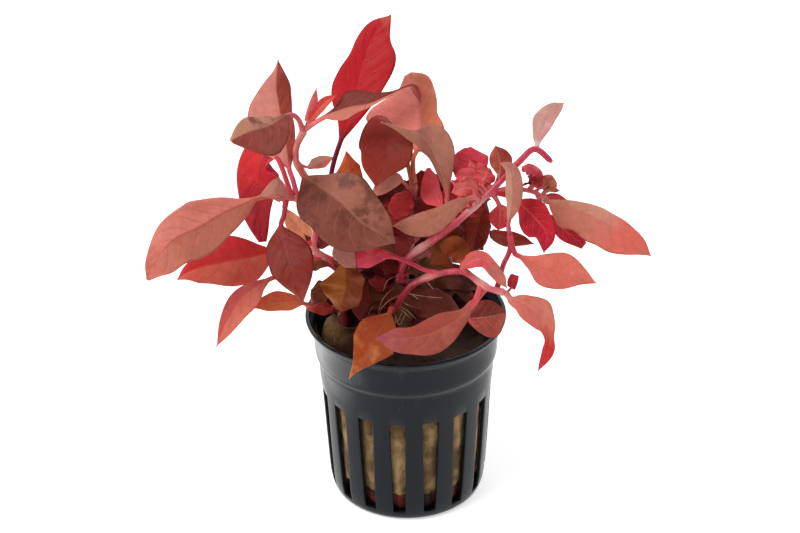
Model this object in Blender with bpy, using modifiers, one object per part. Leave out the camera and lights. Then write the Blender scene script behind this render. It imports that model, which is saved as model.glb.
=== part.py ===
"""Alternanthera reineckii, a red aquarium stem plant, growing in its slotted net pot.

Run with: blender --background --python part.py
The pot stands on Z = 0 with its centre at the origin, and +Z is up. The front of the plant is -Y.
All dimensions are in millimetres and are turned into metres where a mesh is made.
"""

import math

import bmesh
import bpy
from mathutils import Vector

MM = 0.001
GAP = 0.3

# The pot's outer wall from the rim down to the foot, as (radius, height).
POT_OUTSIDE = [
    (24.1, 50.0), (24.8, 50.0), (25.0, 49.7), (24.9, 48.9),
    (23.6, 48.5), (23.2, 47.2), (22.8, 39.8), (22.1, 39.1),
    (21.4, 30.0), (20.0, 4.6), (19.3, 1.6), (18.6, 0.4), (17.8, 0.0),
]
POT_WALL = 1.0
POT_FLOOR = 1.5
POT_SEGMENTS = 40
INNER_HEIGHTS = [POT_FLOOR, 4.6, 30.0, 39.1, 40.8, 48.0]

SLOT_COUNT = 16
SLOT_FIRST_ANGLE = -6.7
SLOT_LOW = 2.6
SLOT_HIGH = 30.4
SLOT_WIDTH_LOW = 3.0
SLOT_WIDTH_HIGH = 4.2
SLOT_RADIUS = 20.4
SLOT_DEPTH = 8.0

WOOL_FOOT = 1.9
WOOL_TOP = 41.5
WOOL_SIDE_HEIGHTS = [39.0, 30.0, 4.6]
WOOL_GAP = 0.45
WOOL_LUMP = 1.1
WOOL_SEGMENTS = 24

STEM_RADIUS = 0.95
STEM_TIP_RADIUS = 0.75
SHOOT_RADIUS = 0.7
SHOOT_TIP_RADIUS = 0.5
STEM_FOOT = 30.0
STEM_BEVEL = 2
SOCKET_GAP = 0.4
SOCKET_TOP = 46.5

PETIOLE_WIDTH = 1.2
PETIOLE_SHARE = 0.2
PETIOLE_THICKNESS = 1.0
PETIOLE_FADE = 4.0
BLADE_THICKNESS = 0.45
TIP_HALF_WIDTH = 0.25

DARK_SLATE = (0.055, 0.075, 0.085)
KHAKI_WOOL = (0.30, 0.22, 0.10)
STEM_PINK = (0.62, 0.10, 0.14)
MAUVE = (0.42, 0.20, 0.16)
SALMON = (0.62, 0.20, 0.16)
CRIMSON = (0.55, 0.03, 0.05)
PINK = (0.68, 0.12, 0.18)
PALE_PINK = (0.75, 0.45, 0.38)
ORANGE = (0.62, 0.20, 0.05)
OLIVE = (0.28, 0.14, 0.05)
DARK_RED = (0.20, 0.03, 0.03)

TOWARDS_FRONT = (0.0, -0.80, 0.60)

# Where the photograph was taken from, in mm and degrees, with its focal length and middle in pixels.
# What it shows of the stems and leaves is placed by pixels (across, down) and a judged depth.
VIEW_AIM = Vector((-1.25, 0.0, 63.1))
VIEW_DISTANCE = 548.0
VIEW_DOWN = 30.2
VIEW_ROLL = -0.85
VIEW_FOCAL = 2230.0
PHOTO_MIDDLE = (400.0, 266.5)

ROUTE_STEPS = 120


def clear_scene():
    for old in list(bpy.data.objects):
        bpy.data.objects.remove(old, do_unlink=True)


def new_collection(name):
    collection = bpy.data.collections.new(name)
    bpy.context.scene.collection.children.link(collection)
    return collection


def finish_material(name, colour, roughness):
    material = bpy.data.materials.new(name)
    material.use_nodes = True
    shader = material.node_tree.nodes["Principled BSDF"]
    shader.inputs["Base Color"].default_value = (*colour, 1.0)
    shader.inputs["Roughness"].default_value = roughness
    shader.inputs["Metallic"].default_value = 0.0
    return material


def add_object(name, data, collection, material=None):
    thing = bpy.data.objects.new(name, data)
    collection.objects.link(thing)
    if material is not None:
        data.materials.append(material)
    return thing


def mesh_from(shape, name):
    mesh = bpy.data.meshes.new(name)
    shape.to_mesh(mesh)
    shape.free()
    return mesh


def hide_cutter(cutter):
    cutter.hide_render = True
    cutter.display_type = "WIRE"


def cut_with(body, cutter):
    boolean = body.modifiers.new("cut " + cutter.name, "BOOLEAN")
    boolean.operation = "DIFFERENCE"
    boolean.solver = "EXACT"
    boolean.object = cutter


def even_places(places, steps):
    """The same route, measured out again in equal steps."""
    lengths = [0.0]
    for first, second in zip(places, places[1:]):
        lengths.append(lengths[-1] + (second - first).length)
    result = []
    index = 0
    for step in range(steps + 1):
        target = lengths[-1] * step / steps
        while index < len(lengths) - 2 and lengths[index + 1] < target:
            index += 1
        stretch = lengths[index + 1] - lengths[index]
        share = (target - lengths[index]) / stretch if stretch > 0 else 0.0
        result.append(places[index].lerp(places[index + 1], min(max(share, 0.0), 1.0)))
    return result


def smooth_route(points, steps):
    """Evenly spaced places on a smooth curve through the hand-placed points."""
    knots = [Vector(point) for point in points]
    knots = [knots[0] * 2 - knots[1]] + knots + [knots[-1] * 2 - knots[-2]]
    fine = []
    pieces = 24
    for index in range(1, len(knots) - 2):
        before, start, end, after = knots[index - 1:index + 3]
        for piece in range(pieces):
            share = piece / pieces
            cubic = (start * 3 - before - end * 3 + after) * share ** 3
            square = (before * 2 - start * 5 + end * 4 - after) * share ** 2
            fine.append((start * 2 + (end - before) * share + square + cubic) / 2)
    fine.append(knots[-2])
    return even_places(fine, steps)


def seen(across, down, depth):
    """The place that the photograph shows at a pixel, at a depth along Y."""
    lowered, rolled = math.radians(VIEW_DOWN), math.radians(VIEW_ROLL)
    forward = Vector((0.0, math.cos(lowered), -math.sin(lowered)))
    level = Vector((1.0, 0.0, 0.0))
    upright = level.cross(forward)
    view_right = level * math.cos(rolled) + upright * math.sin(rolled)
    view_up = upright * math.cos(rolled) - level * math.sin(rolled)
    view_point = VIEW_AIM - forward * VIEW_DISTANCE
    ray = (forward + view_right * (across - PHOTO_MIDDLE[0]) / VIEW_FOCAL
           + view_up * (PHOTO_MIDDLE[1] - down) / VIEW_FOCAL)
    return view_point + ray * ((depth - view_point.y) / ray.y)


def outer_radius(height):
    """Radius of the pot's outer wall at a height, read between its profile points."""
    for (high_radius, high), (low_radius, low) in zip(POT_OUTSIDE[1:], POT_OUTSIDE[2:]):
        if low <= height <= high:
            return low_radius + (high_radius - low_radius) * (height - low) / (high - low)
    return POT_OUTSIDE[-1][0]


def make_slot_cutters(collection):
    """Tapered blocks round the pot, one for each slot."""
    shape = bmesh.new()
    middle = (SLOT_LOW + SLOT_HIGH) / 2
    for number in range(SLOT_COUNT):
        block = bmesh.ops.create_cube(shape, size=1.0)["verts"]
        angle = math.radians(SLOT_FIRST_ANGLE - 90.0 + number * 360.0 / SLOT_COUNT)
        outward = Vector((math.cos(angle), math.sin(angle), 0.0))
        along = Vector((-math.sin(angle), math.cos(angle), 0.0))
        for corner in block:
            width = SLOT_WIDTH_HIGH if corner.co.z > 0 else SLOT_WIDTH_LOW
            height = middle + corner.co.z * (SLOT_HIGH - SLOT_LOW)
            place = outward * (SLOT_RADIUS + corner.co.x * SLOT_DEPTH) + along * corner.co.y * width
            corner.co = (place + Vector((0.0, 0.0, height))) * MM
    cutter = add_object("slot_cutter", mesh_from(shape, "slot_cutter"), collection)
    hide_cutter(cutter)
    return cutter


def make_pot(collection, cutters):
    """The net pot: its wall's profile turned round Z, with the slots cut through."""
    inside = [(0.0, POT_FLOOR)] + [(outer_radius(z) - POT_WALL, z) for z in INNER_HEIGHTS]
    shape = bmesh.new()
    corners = [shape.verts.new((radius * MM, 0.0, height * MM))
               for radius, height in inside + POT_OUTSIDE + [(0.0, 0.0)]]
    for pair in zip(corners, corners[1:]):
        shape.edges.new(pair)
    material = finish_material("slate plastic", DARK_SLATE, 0.38)
    pot = add_object("pot", mesh_from(shape, "pot"), collection, material)
    screw = pot.modifiers.new("turn", "SCREW")
    screw.axis = "Z"
    screw.steps = POT_SEGMENTS
    screw.render_steps = POT_SEGMENTS
    screw.use_merge_vertices = True
    screw.merge_threshold = 0.00005
    cut_with(pot, make_slot_cutters(cutters))
    return pot


def wool_lump(x, y):
    """How far the wool's uneven top lies above or below its mean height."""
    ripple = math.sin(x * 0.31 + 0.8) * math.cos(y * 0.27 - 0.5)
    small = 0.4 * math.sin(x * 0.83 + y * 0.55)
    return WOOL_LUMP * (ripple + small)


def make_wool(collection, cutters, stems):
    """The wool plug, with one socket for every stem that is rooted in it."""
    side = [(outer_radius(z) - POT_WALL - WOOL_GAP, z) for z in WOOL_SIDE_HEIGHTS]
    top_radius = side[0][0]
    profile = [(0.0, WOOL_TOP), (top_radius * 0.35, WOOL_TOP), (top_radius * 0.68, WOOL_TOP),
               (top_radius * 0.94, WOOL_TOP - 0.3)]
    profile += side + [(side[-1][0] - 1.5, WOOL_FOOT), (0.0, WOOL_FOOT)]
    shape = bmesh.new()
    corners = [shape.verts.new((radius, 0.0, height)) for radius, height in profile]
    edges = [shape.edges.new(pair) for pair in zip(corners, corners[1:])]
    bmesh.ops.spin(shape, geom=corners + edges, cent=(0, 0, 0), axis=(0, 0, 1), angle=math.tau,
                   steps=WOOL_SEGMENTS, use_merge=True)
    bmesh.ops.remove_doubles(shape, verts=shape.verts, dist=0.01)
    for corner in shape.verts:
        if corner.co.z > WOOL_TOP - 0.5:
            corner.co.z += wool_lump(corner.co.x, corner.co.y)
    bmesh.ops.scale(shape, vec=(MM, MM, MM), verts=shape.verts)
    bmesh.ops.recalc_face_normals(shape, faces=shape.faces)
    material = finish_material("mineral wool", KHAKI_WOOL, 0.95)
    wool = add_object("rock_wool", mesh_from(shape, "rock_wool"), collection, material)
    for stem in stems:
        cut_with(wool, make_socket(stem, cutters))
    return wool


def tube_curve(name, places, radius, tip_radius):
    curve = bpy.data.curves.new(name, "CURVE")
    curve.dimensions = "3D"
    curve.bevel_depth = radius * MM
    curve.bevel_resolution = STEM_BEVEL
    curve.use_fill_caps = True
    line = curve.splines.new("POLY")
    line.points.add(len(places) - 1)
    for index, place in enumerate(places):
        share = index / (len(places) - 1)
        line.points[index].co = (*(place * MM), 1.0)
        line.points[index].radius = 1.0 + share * (tip_radius / radius - 1.0)
    return curve


def make_socket(stem, cutters):
    """The hole that the foot of a stem stands in, a little wider and deeper than the stem."""
    buried = [place for place in stem["route"] if place.z < SOCKET_TOP]
    low = buried[0] - (buried[1] - buried[0]).normalized() * 2 * GAP
    radius = stem["radius"] + SOCKET_GAP
    guide = add_object("socket_guide", tube_curve("socket_guide", [low] + buried, radius, radius),
                       cutters)
    bpy.context.view_layer.update()
    mesh = bpy.data.meshes.new_from_object(
        guide.evaluated_get(bpy.context.evaluated_depsgraph_get()))
    bpy.data.objects.remove(guide, do_unlink=True)
    shape = bmesh.new()
    shape.from_mesh(mesh)
    bmesh.ops.remove_doubles(shape, verts=shape.verts, dist=0.00001)
    shape.to_mesh(mesh)
    shape.free()
    cutter = add_object(stem["name"] + "_socket", mesh, cutters)
    hide_cutter(cutter)
    return cutter


def nearest_distance(place, route):
    best = math.inf
    for first, second in zip(route, route[1:]):
        along = second - first
        share = (place - first).dot(along) / along.length_squared
        foot = first + along * min(max(share, 0.0), 1.0)
        best = min(best, (place - foot).length)
    return best


def beyond_stem(route, stem, half_thickness):
    """The part of a route that is free of the stem it grows on."""
    free = stem["radius"] + half_thickness + GAP
    start = 0
    while start < len(route) - 1 and nearest_distance(route[start], stem["route"]) < free:
        start += 1
    return route[start:]


def make_stem(name, buried, line, radius, tip_radius, steps, collection, parent=None):
    """One stem: what the pot hides of it is placed in mm, and the rest by what the photograph shows."""
    points = buried + [seen(*place) for place in line]
    route = smooth_route(points, steps)
    if parent:
        route = even_places(beyond_stem(smooth_route(points, ROUTE_STEPS), parent, radius), steps)
    curve = tube_curve(name, route, radius, tip_radius)
    add_object(name, curve, collection, finish_material(name + " skin", STEM_PINK, 0.45))
    return {"name": name, "route": route, "radius": radius}


def on_stem(stem, share):
    """The place at a share of a stem's length."""
    spot = share * (len(stem["route"]) - 1)
    index = min(int(spot), len(stem["route"]) - 2)
    return stem["route"][index].lerp(stem["route"][index + 1], spot - index)


def blade_half_width(share, width, petiole, broad, taper):
    """Half the leaf's width at a share of its length: a thin stalk, then a lance-shaped blade.

    broad is the place along the blade where it is widest, and taper is 1 for a straight-sided
    point, less for a rounder one.
    """
    half_stalk = min(PETIOLE_WIDTH, PETIOLE_SHARE * width) / 2
    if share <= petiole:
        return half_stalk
    blade = (share - petiole) / (1.0 - petiole)
    foot = (blade / broad) ** (taper * broad / (1.0 - broad))
    point = ((1.0 - blade) / (1.0 - broad)) ** taper
    return max(width / 2 * foot * point, half_stalk * (1.0 - blade), TIP_HALF_WIDTH)


def make_leaf(name, stem, foot, line, width, colour, collection, face=TOWARDS_FRONT, tip_face=None,
              fold=10.0, petiole=0.2, broad=0.5, taper=0.75, rows=8):
    """One leaf: a grid laid along a smooth midrib, folded at the midrib and given its thickness.

    Its stalk stands at a share of the stem's length, foot, and its midrib follows the line that the
    photograph shows. The face vectors say where the upper side looks at the foot and at the tip, fold
    is how far each half rises from flat in degrees, and petiole is the stalk's share of the length.
    """
    midrib = smooth_route([on_stem(stem, foot)] + [seen(*place) for place in line], ROUTE_STEPS)
    route = even_places(beyond_stem(midrib, stem, PETIOLE_THICKNESS / 2), rows)
    first_face = Vector(face)
    last_face = Vector(tip_face) if tip_face else first_face
    rise = math.radians(fold)
    shape = bmesh.new()
    bmesh.ops.create_grid(shape, x_segments=2, y_segments=rows, size=1.0)
    stalk = []
    for corner in shape.verts:
        across = corner.co.x
        row = round((corner.co.y + 1.0) / 2 * rows)
        share = row / rows
        ahead = (route[min(row + 1, rows)] - route[max(row - 1, 0)]).normalized()
        side = ahead.cross(first_face.lerp(last_face, share)).normalized()
        upward = side.cross(ahead)
        half = blade_half_width(share, width, petiole, broad, taper)
        out = side * across * half * math.cos(rise)
        lift = upward * abs(across) * half * math.sin(rise)
        corner.co = (route[row] + out + lift) * MM
        stalk.append(min(1.0, max(0.0, 1.0 - (share - petiole) * PETIOLE_FADE)))
    leaf = add_object(name, mesh_from(shape, name), collection,
                      finish_material(name.replace("_", " "), colour, 0.5))
    group = leaf.vertex_groups.new(name="stalk")
    for index, weight in enumerate(stalk):
        group.add([index], weight, "REPLACE")
    shell = leaf.modifiers.new("thickness", "SOLIDIFY")
    shell.thickness = PETIOLE_THICKNESS * MM
    shell.offset = 0.0
    shell.use_even_offset = False
    shell.vertex_group = "stalk"
    shell.thickness_vertex_group = BLADE_THICKNESS / PETIOLE_THICKNESS
    leaf.data.shade_smooth()
    return leaf


def make_left_stems(plant):
    tall_line = [(356, 276, 4), (328, 212, 1), (299, 167, -1), (297, 145, -1), (305, 129, 0)]
    tall = make_stem("left_tall_stem", [(-9.0, 6.0, STEM_FOOT), (-10.5, 5.0, 45.0)], tall_line,
                     STEM_RADIUS, STEM_TIP_RADIUS, 16, plant)
    low_line = [(340, 283, 1), (338, 264, -3), (315, 251, -5), (315, 230, -6), (297, 199, -8), (280, 199, -9)]
    low = make_stem("left_low_stem", [(-13.0, 0.0, STEM_FOOT), (-15.0, 0.5, 45.0)], low_line,
                    STEM_RADIUS, STEM_TIP_RADIUS, 20, plant)
    return tall, low


def make_centre_stem(plant):
    line = [(405, 290, 7), (406, 257, 6), (411, 240, 7), (414, 183, 8)]
    return make_stem("centre_stem", [(1.0, 9.0, STEM_FOOT), (0.2, 8.0, 50.0)], line,
                     STEM_RADIUS, STEM_TIP_RADIUS, 12, plant)


def make_right_stems(plant):
    main_line = [(397, 290, 0), (407, 259, -2), (444, 233, -6), (482, 199, -4), (519, 162, 0), (535, 149, 2),
                 (552, 162, 1)]
    main = make_stem("right_stem", [(-3.5, 3.0, STEM_FOOT), (-3.0, 2.0, 46.0)], main_line,
                     STEM_RADIUS, STEM_TIP_RADIUS, 26, plant)
    shoot_line = [(484, 197, -4), (506, 189, -2), (530, 191, 2), (545, 198, 4)]
    shoot = make_stem("right_shoot", [], shoot_line, SHOOT_RADIUS, SHOOT_TIP_RADIUS, 8, plant, parent=main)
    return main, shoot


def make_front_stems(plant):
    main_line = [(395, 311, -4), (410, 287, -9), (434, 275, -13), (463, 272, -15), (486, 287, -17),
                 (506, 293, -18)]
    main = make_stem("front_stem", [(-5.0, -2.0, STEM_FOOT), (-4.0, -2.5, 45.0)], main_line,
                     STEM_RADIUS, STEM_TIP_RADIUS, 20, plant)
    shoot_line = [(497, 289, -16), (503, 266, -14), (510, 248, -12), (508, 222, -10)]
    shoot = make_stem("front_shoot", [], shoot_line, SHOOT_RADIUS, SHOOT_TIP_RADIUS, 6, plant, parent=main)
    return main, shoot


def make_left_tall_leaves(plant, tall):
    """Leaves of the tall stem, from its top bud down to its hidden lower node."""
    tall_red_line = [(332, 170, 4), (341, 140, 8), (354, 105, 12), (362, 70, 16), (391, 14, 22)]
    make_leaf("tall_red_leaf", tall, 0.67, tall_red_line, 13.5, CRIMSON, plant, face=(-0.2, -0.9, 0.4),
              petiole=0.3, broad=0.55)
    folded_top_line = [(325, 117, -0.5), (347, 108, -1.5), (369, 104, -2.3), (387, 96, -3), (405, 88, -4),
                       (418, 95, -5.6)]
    make_leaf("folded_top_leaf", tall, 1.0, folded_top_line, 8.5, MAUVE, plant, face=(0.0, -0.35, 0.95),
              fold=28.0, petiole=0.25)
    round_mauve_line = [(298, 119, -1), (289, 115, -4), (269, 125, -10), (248, 132, -14.5), (231, 141, -17.5)]
    make_leaf("round_mauve_leaf", tall, 0.99, round_mauve_line, 12.5, MAUVE, plant, face=(-0.2, -0.7, 0.7),
              petiole=0.25, taper=0.6)
    top_bud_line = [(308, 118, 2), (312, 108, 3), (316, 88, 4)]
    make_leaf("top_bud", tall, 1.0, top_bud_line, 2.8, PINK, plant, petiole=0.1, rows=5)
    big_mauve_line = [(304, 177, -4), (317, 184, -8), (341, 201, -13.5), (363, 223, -17), (396, 243, -18.5)]
    make_leaf("big_mauve_leaf", tall, 0.86, big_mauve_line, 18.5, MAUVE, plant, face=(0.1, -0.75, 0.65),
              petiole=0.14, rows=10)
    small_mauve_line = [(307, 167, -2), (316, 164, -3.5), (333, 157, -6)]
    make_leaf("small_mauve_leaf", tall, 0.88, small_mauve_line, 4.5, MAUVE, plant, rows=5)
    hooked_line = [(345, 203, 5), (350, 180, 3), (348, 152, -1)]
    make_leaf("hooked_leaf", tall, 0.66, hooked_line, 6.5, ORANGE, plant, petiole=0.35)
    peach_line = [(337, 264, 3), (318, 256, 3.5), (300, 230, 5), (282, 206, 5)]
    make_leaf("peach_leaf", tall, 0.44, peach_line, 8.0, PALE_PINK, plant, petiole=0.3)


def make_left_low_leaves(plant, low):
    """Leaves of the low stem, which make the left side of the plant."""
    upright_pink_line = [(293, 180, -6), (288, 168, -3.5), (284, 141, 1.5), (280, 114, 5), (276, 87, 8),
                         (278, 60, 9)]
    make_leaf("upright_pink_leaf", low, 0.93, upright_pink_line, 15.5, PINK, plant, face=(0.5, -0.7, 0.45),
              fold=-34.0, petiole=0.22, broad=0.38, taper=1.0)
    red_hanging_line = [(279, 176, -5), (272, 160, 1), (265, 156, 4.5), (260, 170, 5), (259, 195, 1.5),
                        (262, 242, -5)]
    make_leaf("red_hanging_leaf", low, 0.95, red_hanging_line, 8.5, CRIMSON, plant, petiole=0.3,
              face=(-0.2, -0.7, 0.7))
    long_left_line = [(270, 196, -10), (256, 199, -12), (227, 211, -17.5), (200, 227, -23), (173, 240, -28),
                      (155, 262, -31.5), (147, 280, -34)]
    make_leaf("long_left_leaf", low, 1.0, long_left_line, 13.5, SALMON, plant, face=(-0.1, -0.75, 0.65),
              petiole=0.16, broad=0.52, rows=10)
    small_pale_line = [(290, 192, -10.5), (278, 192, -13.5), (262, 194, -16)]
    make_leaf("small_pale_leaf", low, 0.96, small_pale_line, 5.0, PALE_PINK, plant, rows=6)
    left_drooping_line = [(284, 215, -10.5), (281, 226, -12.5), (285, 248, -17.5), (293, 272, -22),
                          (303, 304, -25)]
    make_leaf("left_drooping_leaf", low, 0.98, left_drooping_line, 12.0, DARK_RED, plant,
              face=(-0.1, -0.85, 0.5), petiole=0.2)
    left_red_line = [(290, 251, -5), (276, 252, -6), (250, 257, -10), (219, 263, -14), (190, 271, -17.5),
                     (177, 280, -19)]
    make_leaf("left_red_leaf", low, 0.72, left_red_line, 13.0, CRIMSON, plant, petiole=0.2, broad=0.45)
    left_salmon_line = [(290, 272, -10), (268, 280, -17), (243, 296, -24.5), (216, 347, -33.5)]
    make_leaf("left_salmon_leaf", low, 0.64, left_salmon_line, 8.5, SALMON, plant, face=(-0.2, -0.6, 0.75),
              fold=15.0, petiole=0.25)
    left_curled_line = [(315, 304, -9), (302, 303, -13), (289, 302, -15.5), (250, 308, -21)]
    make_leaf("left_curled_leaf", low, 0.44, left_curled_line, 5.0, ORANGE, plant, fold=-20.0, petiole=0.3)
    golden_line = [(345, 263, -6.5), (347, 282, -9.5), (346, 291, -10.5), (340, 310, -12)]
    make_leaf("golden_leaf", low, 0.57, golden_line, 10.0, OLIVE, plant, petiole=0.16)
    rim_red_line = [(332, 308, -2), (319, 306, -4), (303, 304, -6)]
    make_leaf("rim_red_leaf", low, 0.37, rim_red_line, 4.0, CRIMSON, plant, rows=5)


def make_centre_leaves(plant, centre, right):
    """The crown over the middle of the pot."""
    pale_centre_line = [(413, 160, 10), (417, 150, 13), (420, 136, 16), (420, 111, 21), (416, 88, 27),
                        (408, 74, 30)]
    make_leaf("pale_centre_leaf", centre, 1.0, pale_centre_line, 21.0, PALE_PINK, plant,
              face=(-0.45, -0.7, 0.55), fold=22.0, petiole=0.22, rows=10)
    ovate_red_line = [(400, 160, 8), (397, 140, 7), (389, 124, 5.5), (386, 131, 3.5), (386, 144, 1),
                      (385, 157, -1), (376, 187, -4)]
    make_leaf("ovate_red_leaf", centre, 0.93, ovate_red_line, 11.5, DARK_RED, plant,
              face=(0.0, 0.4, 0.9), tip_face=(-0.1, -0.9, 0.4), petiole=0.25, rows=10)
    inner_hanging_line = [(403, 205, 4), (392, 227, 0)]
    make_leaf("inner_hanging_leaf", centre, 0.88, inner_hanging_line, 5.0, CRIMSON, plant, rows=6)
    inner_dark_line = [(418, 237, 11), (418, 216, 13), (411, 190, 15)]
    make_leaf("inner_dark_leaf", centre, 0.70, inner_dark_line, 9.0, DARK_RED, plant)
    inner_curled_line = [(400, 180, 4.5), (386, 184, 1), (372, 197, -2.5)]
    make_leaf("inner_curled_leaf", centre, 0.91, inner_curled_line, 4.0, PALE_PINK, plant, rows=6)
    inner_pink_line = [(434, 211, -1), (428, 189, 5.5), (426, 168, 9)]
    make_leaf("inner_pink_leaf", right, 0.56, inner_pink_line, 6.0, PINK, plant, rows=6)
    arched_line = [(447, 203, 0), (447, 192, 1.5), (438, 165, 3.5), (431, 148, 5), (422, 137, 4.5),
                   (408, 131, 0), (381, 122, -3)]
    make_leaf("arched_leaf", right, 0.635, arched_line, 8.0, MAUVE, plant, face=(0.2, -0.7, 0.7), fold=20.0,
              petiole=0.2, broad=0.4, rows=10)


def make_right_leaves(plant, main):
    """Leaves of the right stem."""
    centre_mauve_line = [(470, 198, -8.5), (456, 205, -10), (426, 222, -11.5), (393, 226, -10)]
    make_leaf("centre_mauve_leaf", main, 0.72, centre_mauve_line, 6.0, MAUVE, plant, petiole=0.2, broad=0.45)
    dark_mauve_line = [(482, 206, -3), (478, 224, 1), (474, 245, 3), (472, 254, 3.5)]
    make_leaf("dark_mauve_leaf", main, 0.735, dark_mauve_line, 7.5, DARK_RED, plant, petiole=0.15)
    low_cluster_line = [(468, 184, -6.5), (452, 187, -8.5)]
    make_leaf("cluster_leaf_low", main, 0.735, low_cluster_line, 4.5, PINK, plant, rows=6)
    high_cluster_line = [(472, 178, -1), (455, 176, -1)]
    make_leaf("cluster_leaf_high", main, 0.755, high_cluster_line, 4.5, PINK, plant, rows=6)
    round_pink_line = [(477, 184, 1), (474, 178, 3), (470, 168, 6), (467, 148, 12)]
    make_leaf("round_pink_leaf", main, 0.775, round_pink_line, 9.0, PINK, plant, petiole=0.2)
    brown_right_line = [(499, 179, -1), (500, 168, 0.5), (495, 145, 3.5)]
    make_leaf("brown_right_leaf", main, 0.79, brown_right_line, 5.5, MAUVE, plant, rows=6)
    pale_tip_line = [(537, 144, 3), (539, 136, 5), (549, 115, 9), (564, 102, 12.5)]
    make_leaf("pale_tip_leaf", main, 0.935, pale_tip_line, 5.0, PALE_PINK, plant, petiole=0.12, rows=6)
    right_mauve_line = [(492, 208, 0), (493, 227, 6), (510, 239, 6), (534, 244, 4)]
    make_leaf("right_mauve_leaf", main, 0.745, right_mauve_line, 4.5, MAUVE, plant, petiole=0.35)


def make_right_shoot_leaves(plant, shoot):
    """Leaves of the side branch, which make the right side of the plant."""
    crimson_line = [(509, 196, -3), (516, 201, -4.5), (531, 214, -7.5), (546, 233, -10), (544, 253, -12)]
    make_leaf("crimson_leaf", shoot, 0.17, crimson_line, 8.5, CRIMSON, plant, petiole=0.18)
    inner_right_line = [(499, 205, -3.5), (500, 217, -4), (498, 230, -5)]
    make_leaf("inner_right_leaf", shoot, 0.02, inner_right_line, 5.0, PINK, plant, rows=6)
    long_right_line = [(549, 202, 3.5), (581, 210, 0), (612, 225, -5), (639, 245, -10), (651, 256, -12)]
    make_leaf("long_right_leaf", shoot, 1.0, long_right_line, 9.0, SALMON, plant, petiole=0.1, rows=10)
    small_red_line = [(545, 214, 6), (554, 222, 6.5), (573, 237, 6), (584, 246, 5)]
    make_leaf("small_red_leaf", shoot, 0.86, small_red_line, 5.5, CRIMSON, plant, petiole=0.25)
    crinkled_line = [(539, 188, 5), (536, 178, 6), (522, 170, 4)]
    make_leaf("crinkled_leaf", shoot, 0.79, crinkled_line, 5.0, PINK, plant, rows=6)
    crinkled_brown_line = [(547, 186, 7), (541, 174, 8)]
    make_leaf("crinkled_brown_leaf", shoot, 0.94, crinkled_brown_line, 3.5, OLIVE, plant, rows=5)
    high_thin_line = [(554, 190, 6), (572, 190, 9)]
    make_leaf("thin_leaf_high", shoot, 1.0, high_thin_line, 2.5, CRIMSON, plant, rows=5)
    low_thin_line = [(556, 201, 7), (571, 205, 9)]
    make_leaf("thin_leaf_low", shoot, 1.0, low_thin_line, 2.5, CRIMSON, plant, rows=5)


def make_front_leaves(plant, main, shoot):
    """Leaves of the stem that arches over the rim, and of its thin side branch."""
    olive_line = [(462, 262, -10), (457, 250, -5), (449, 250, -2), (439, 257, 0), (429, 265, 1)]
    make_leaf("olive_leaf", main, 0.815, olive_line, 6.5, OLIVE, plant, petiole=0.2)
    low_pink_line = [(410, 263, -11), (398, 258, -10), (386, 255, -9), (355, 260, -10)]
    make_leaf("low_pink_leaf", main, 0.72, low_pink_line, 5.0, PINK, plant, face=(0.0, -0.3, 0.95),
              petiole=0.5)
    rim_orange_line = [(391, 308, -9), (389, 314, -13), (383, 326, -17), (368, 349, -23.5), (353, 371, -26.5)]
    make_leaf("rim_orange_leaf", main, 0.365, rim_orange_line, 10.5, ORANGE, plant, petiole=0.15)
    long_front_line = [(475, 300, -19), (470, 304, -21), (461, 317, -24), (430, 334, -27), (394, 339, -27.5),
                       (376, 338, -27.3)]
    make_leaf("long_front_leaf", main, 0.90, long_front_line, 10.0, SALMON, plant, face=(0.0, -0.75, 0.65),
              petiole=0.22, broad=0.42, rows=10)
    rim_pink_line = [(475, 303, -16.5), (468, 312, -16.5), (472, 320, -16), (487, 320, -16), (502, 318, -16)]
    make_leaf("rim_pink_leaf", main, 0.92, rim_pink_line, 6.5, SALMON, plant, petiole=0.3)
    bent_right_line = [(512, 300, -20.5), (524, 305, -22), (545, 322, -25), (549, 336, -26.5),
                       (548, 351, -27.5), (538, 371, -29)]
    make_leaf("bent_right_leaf", main, 1.0, bent_right_line, 8.0, SALMON, plant, tip_face=(-0.95, -0.1, 0.0),
              petiole=0.08, broad=0.35, rows=10)
    twisted_line = [(468, 262, -15.8), (478, 257, -16.2), (488, 262, -17.5), (507, 286, -22)]
    make_leaf("twisted_leaf", main, 0.83, twisted_line, 4.0, MAUVE, plant, petiole=0.12)
    small_dark_line = [(511, 288, -16), (516, 280, -14)]
    make_leaf("small_dark_leaf", main, 0.98, small_dark_line, 3.0, DARK_RED, plant, rows=5)
    salmon_right_line = [(514, 252, -12.5), (521, 257, -13.5), (546, 269, -17.5), (572, 276, -21.5),
                         (596, 283, -24)]
    make_leaf("salmon_right_leaf", shoot, 0.81, salmon_right_line, 9.0, SALMON, plant, petiole=0.2,
              broad=0.45)
    upright_right_line = [(509, 221, -11), (512, 195, -9.5), (510, 171, -6), (500, 163, -4)]
    make_leaf("upright_right_leaf", shoot, 1.0, upright_right_line, 5.5, MAUVE, plant, face=(-0.5, -0.8, 0.5),
              fold=25.0, petiole=0.25)


def main():
    clear_scene()
    plant = new_collection("alternanthera_reineckii")
    cutters = new_collection("cutters")
    make_pot(plant, cutters)
    left_tall, left_low = make_left_stems(plant)
    centre = make_centre_stem(plant)
    right_main, right_shoot = make_right_stems(plant)
    front_main, front_shoot = make_front_stems(plant)
    make_wool(plant, cutters, [left_tall, left_low, centre, right_main, front_main])
    make_left_tall_leaves(plant, left_tall)
    make_left_low_leaves(plant, left_low)
    make_centre_leaves(plant, centre, right_main)
    make_right_leaves(plant, right_main)
    make_right_shoot_leaves(plant, right_shoot)
    make_front_leaves(plant, front_main, front_shoot)


main()
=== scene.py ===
import math
import random

import bpy
from mathutils import Matrix, Vector, noise


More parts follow.
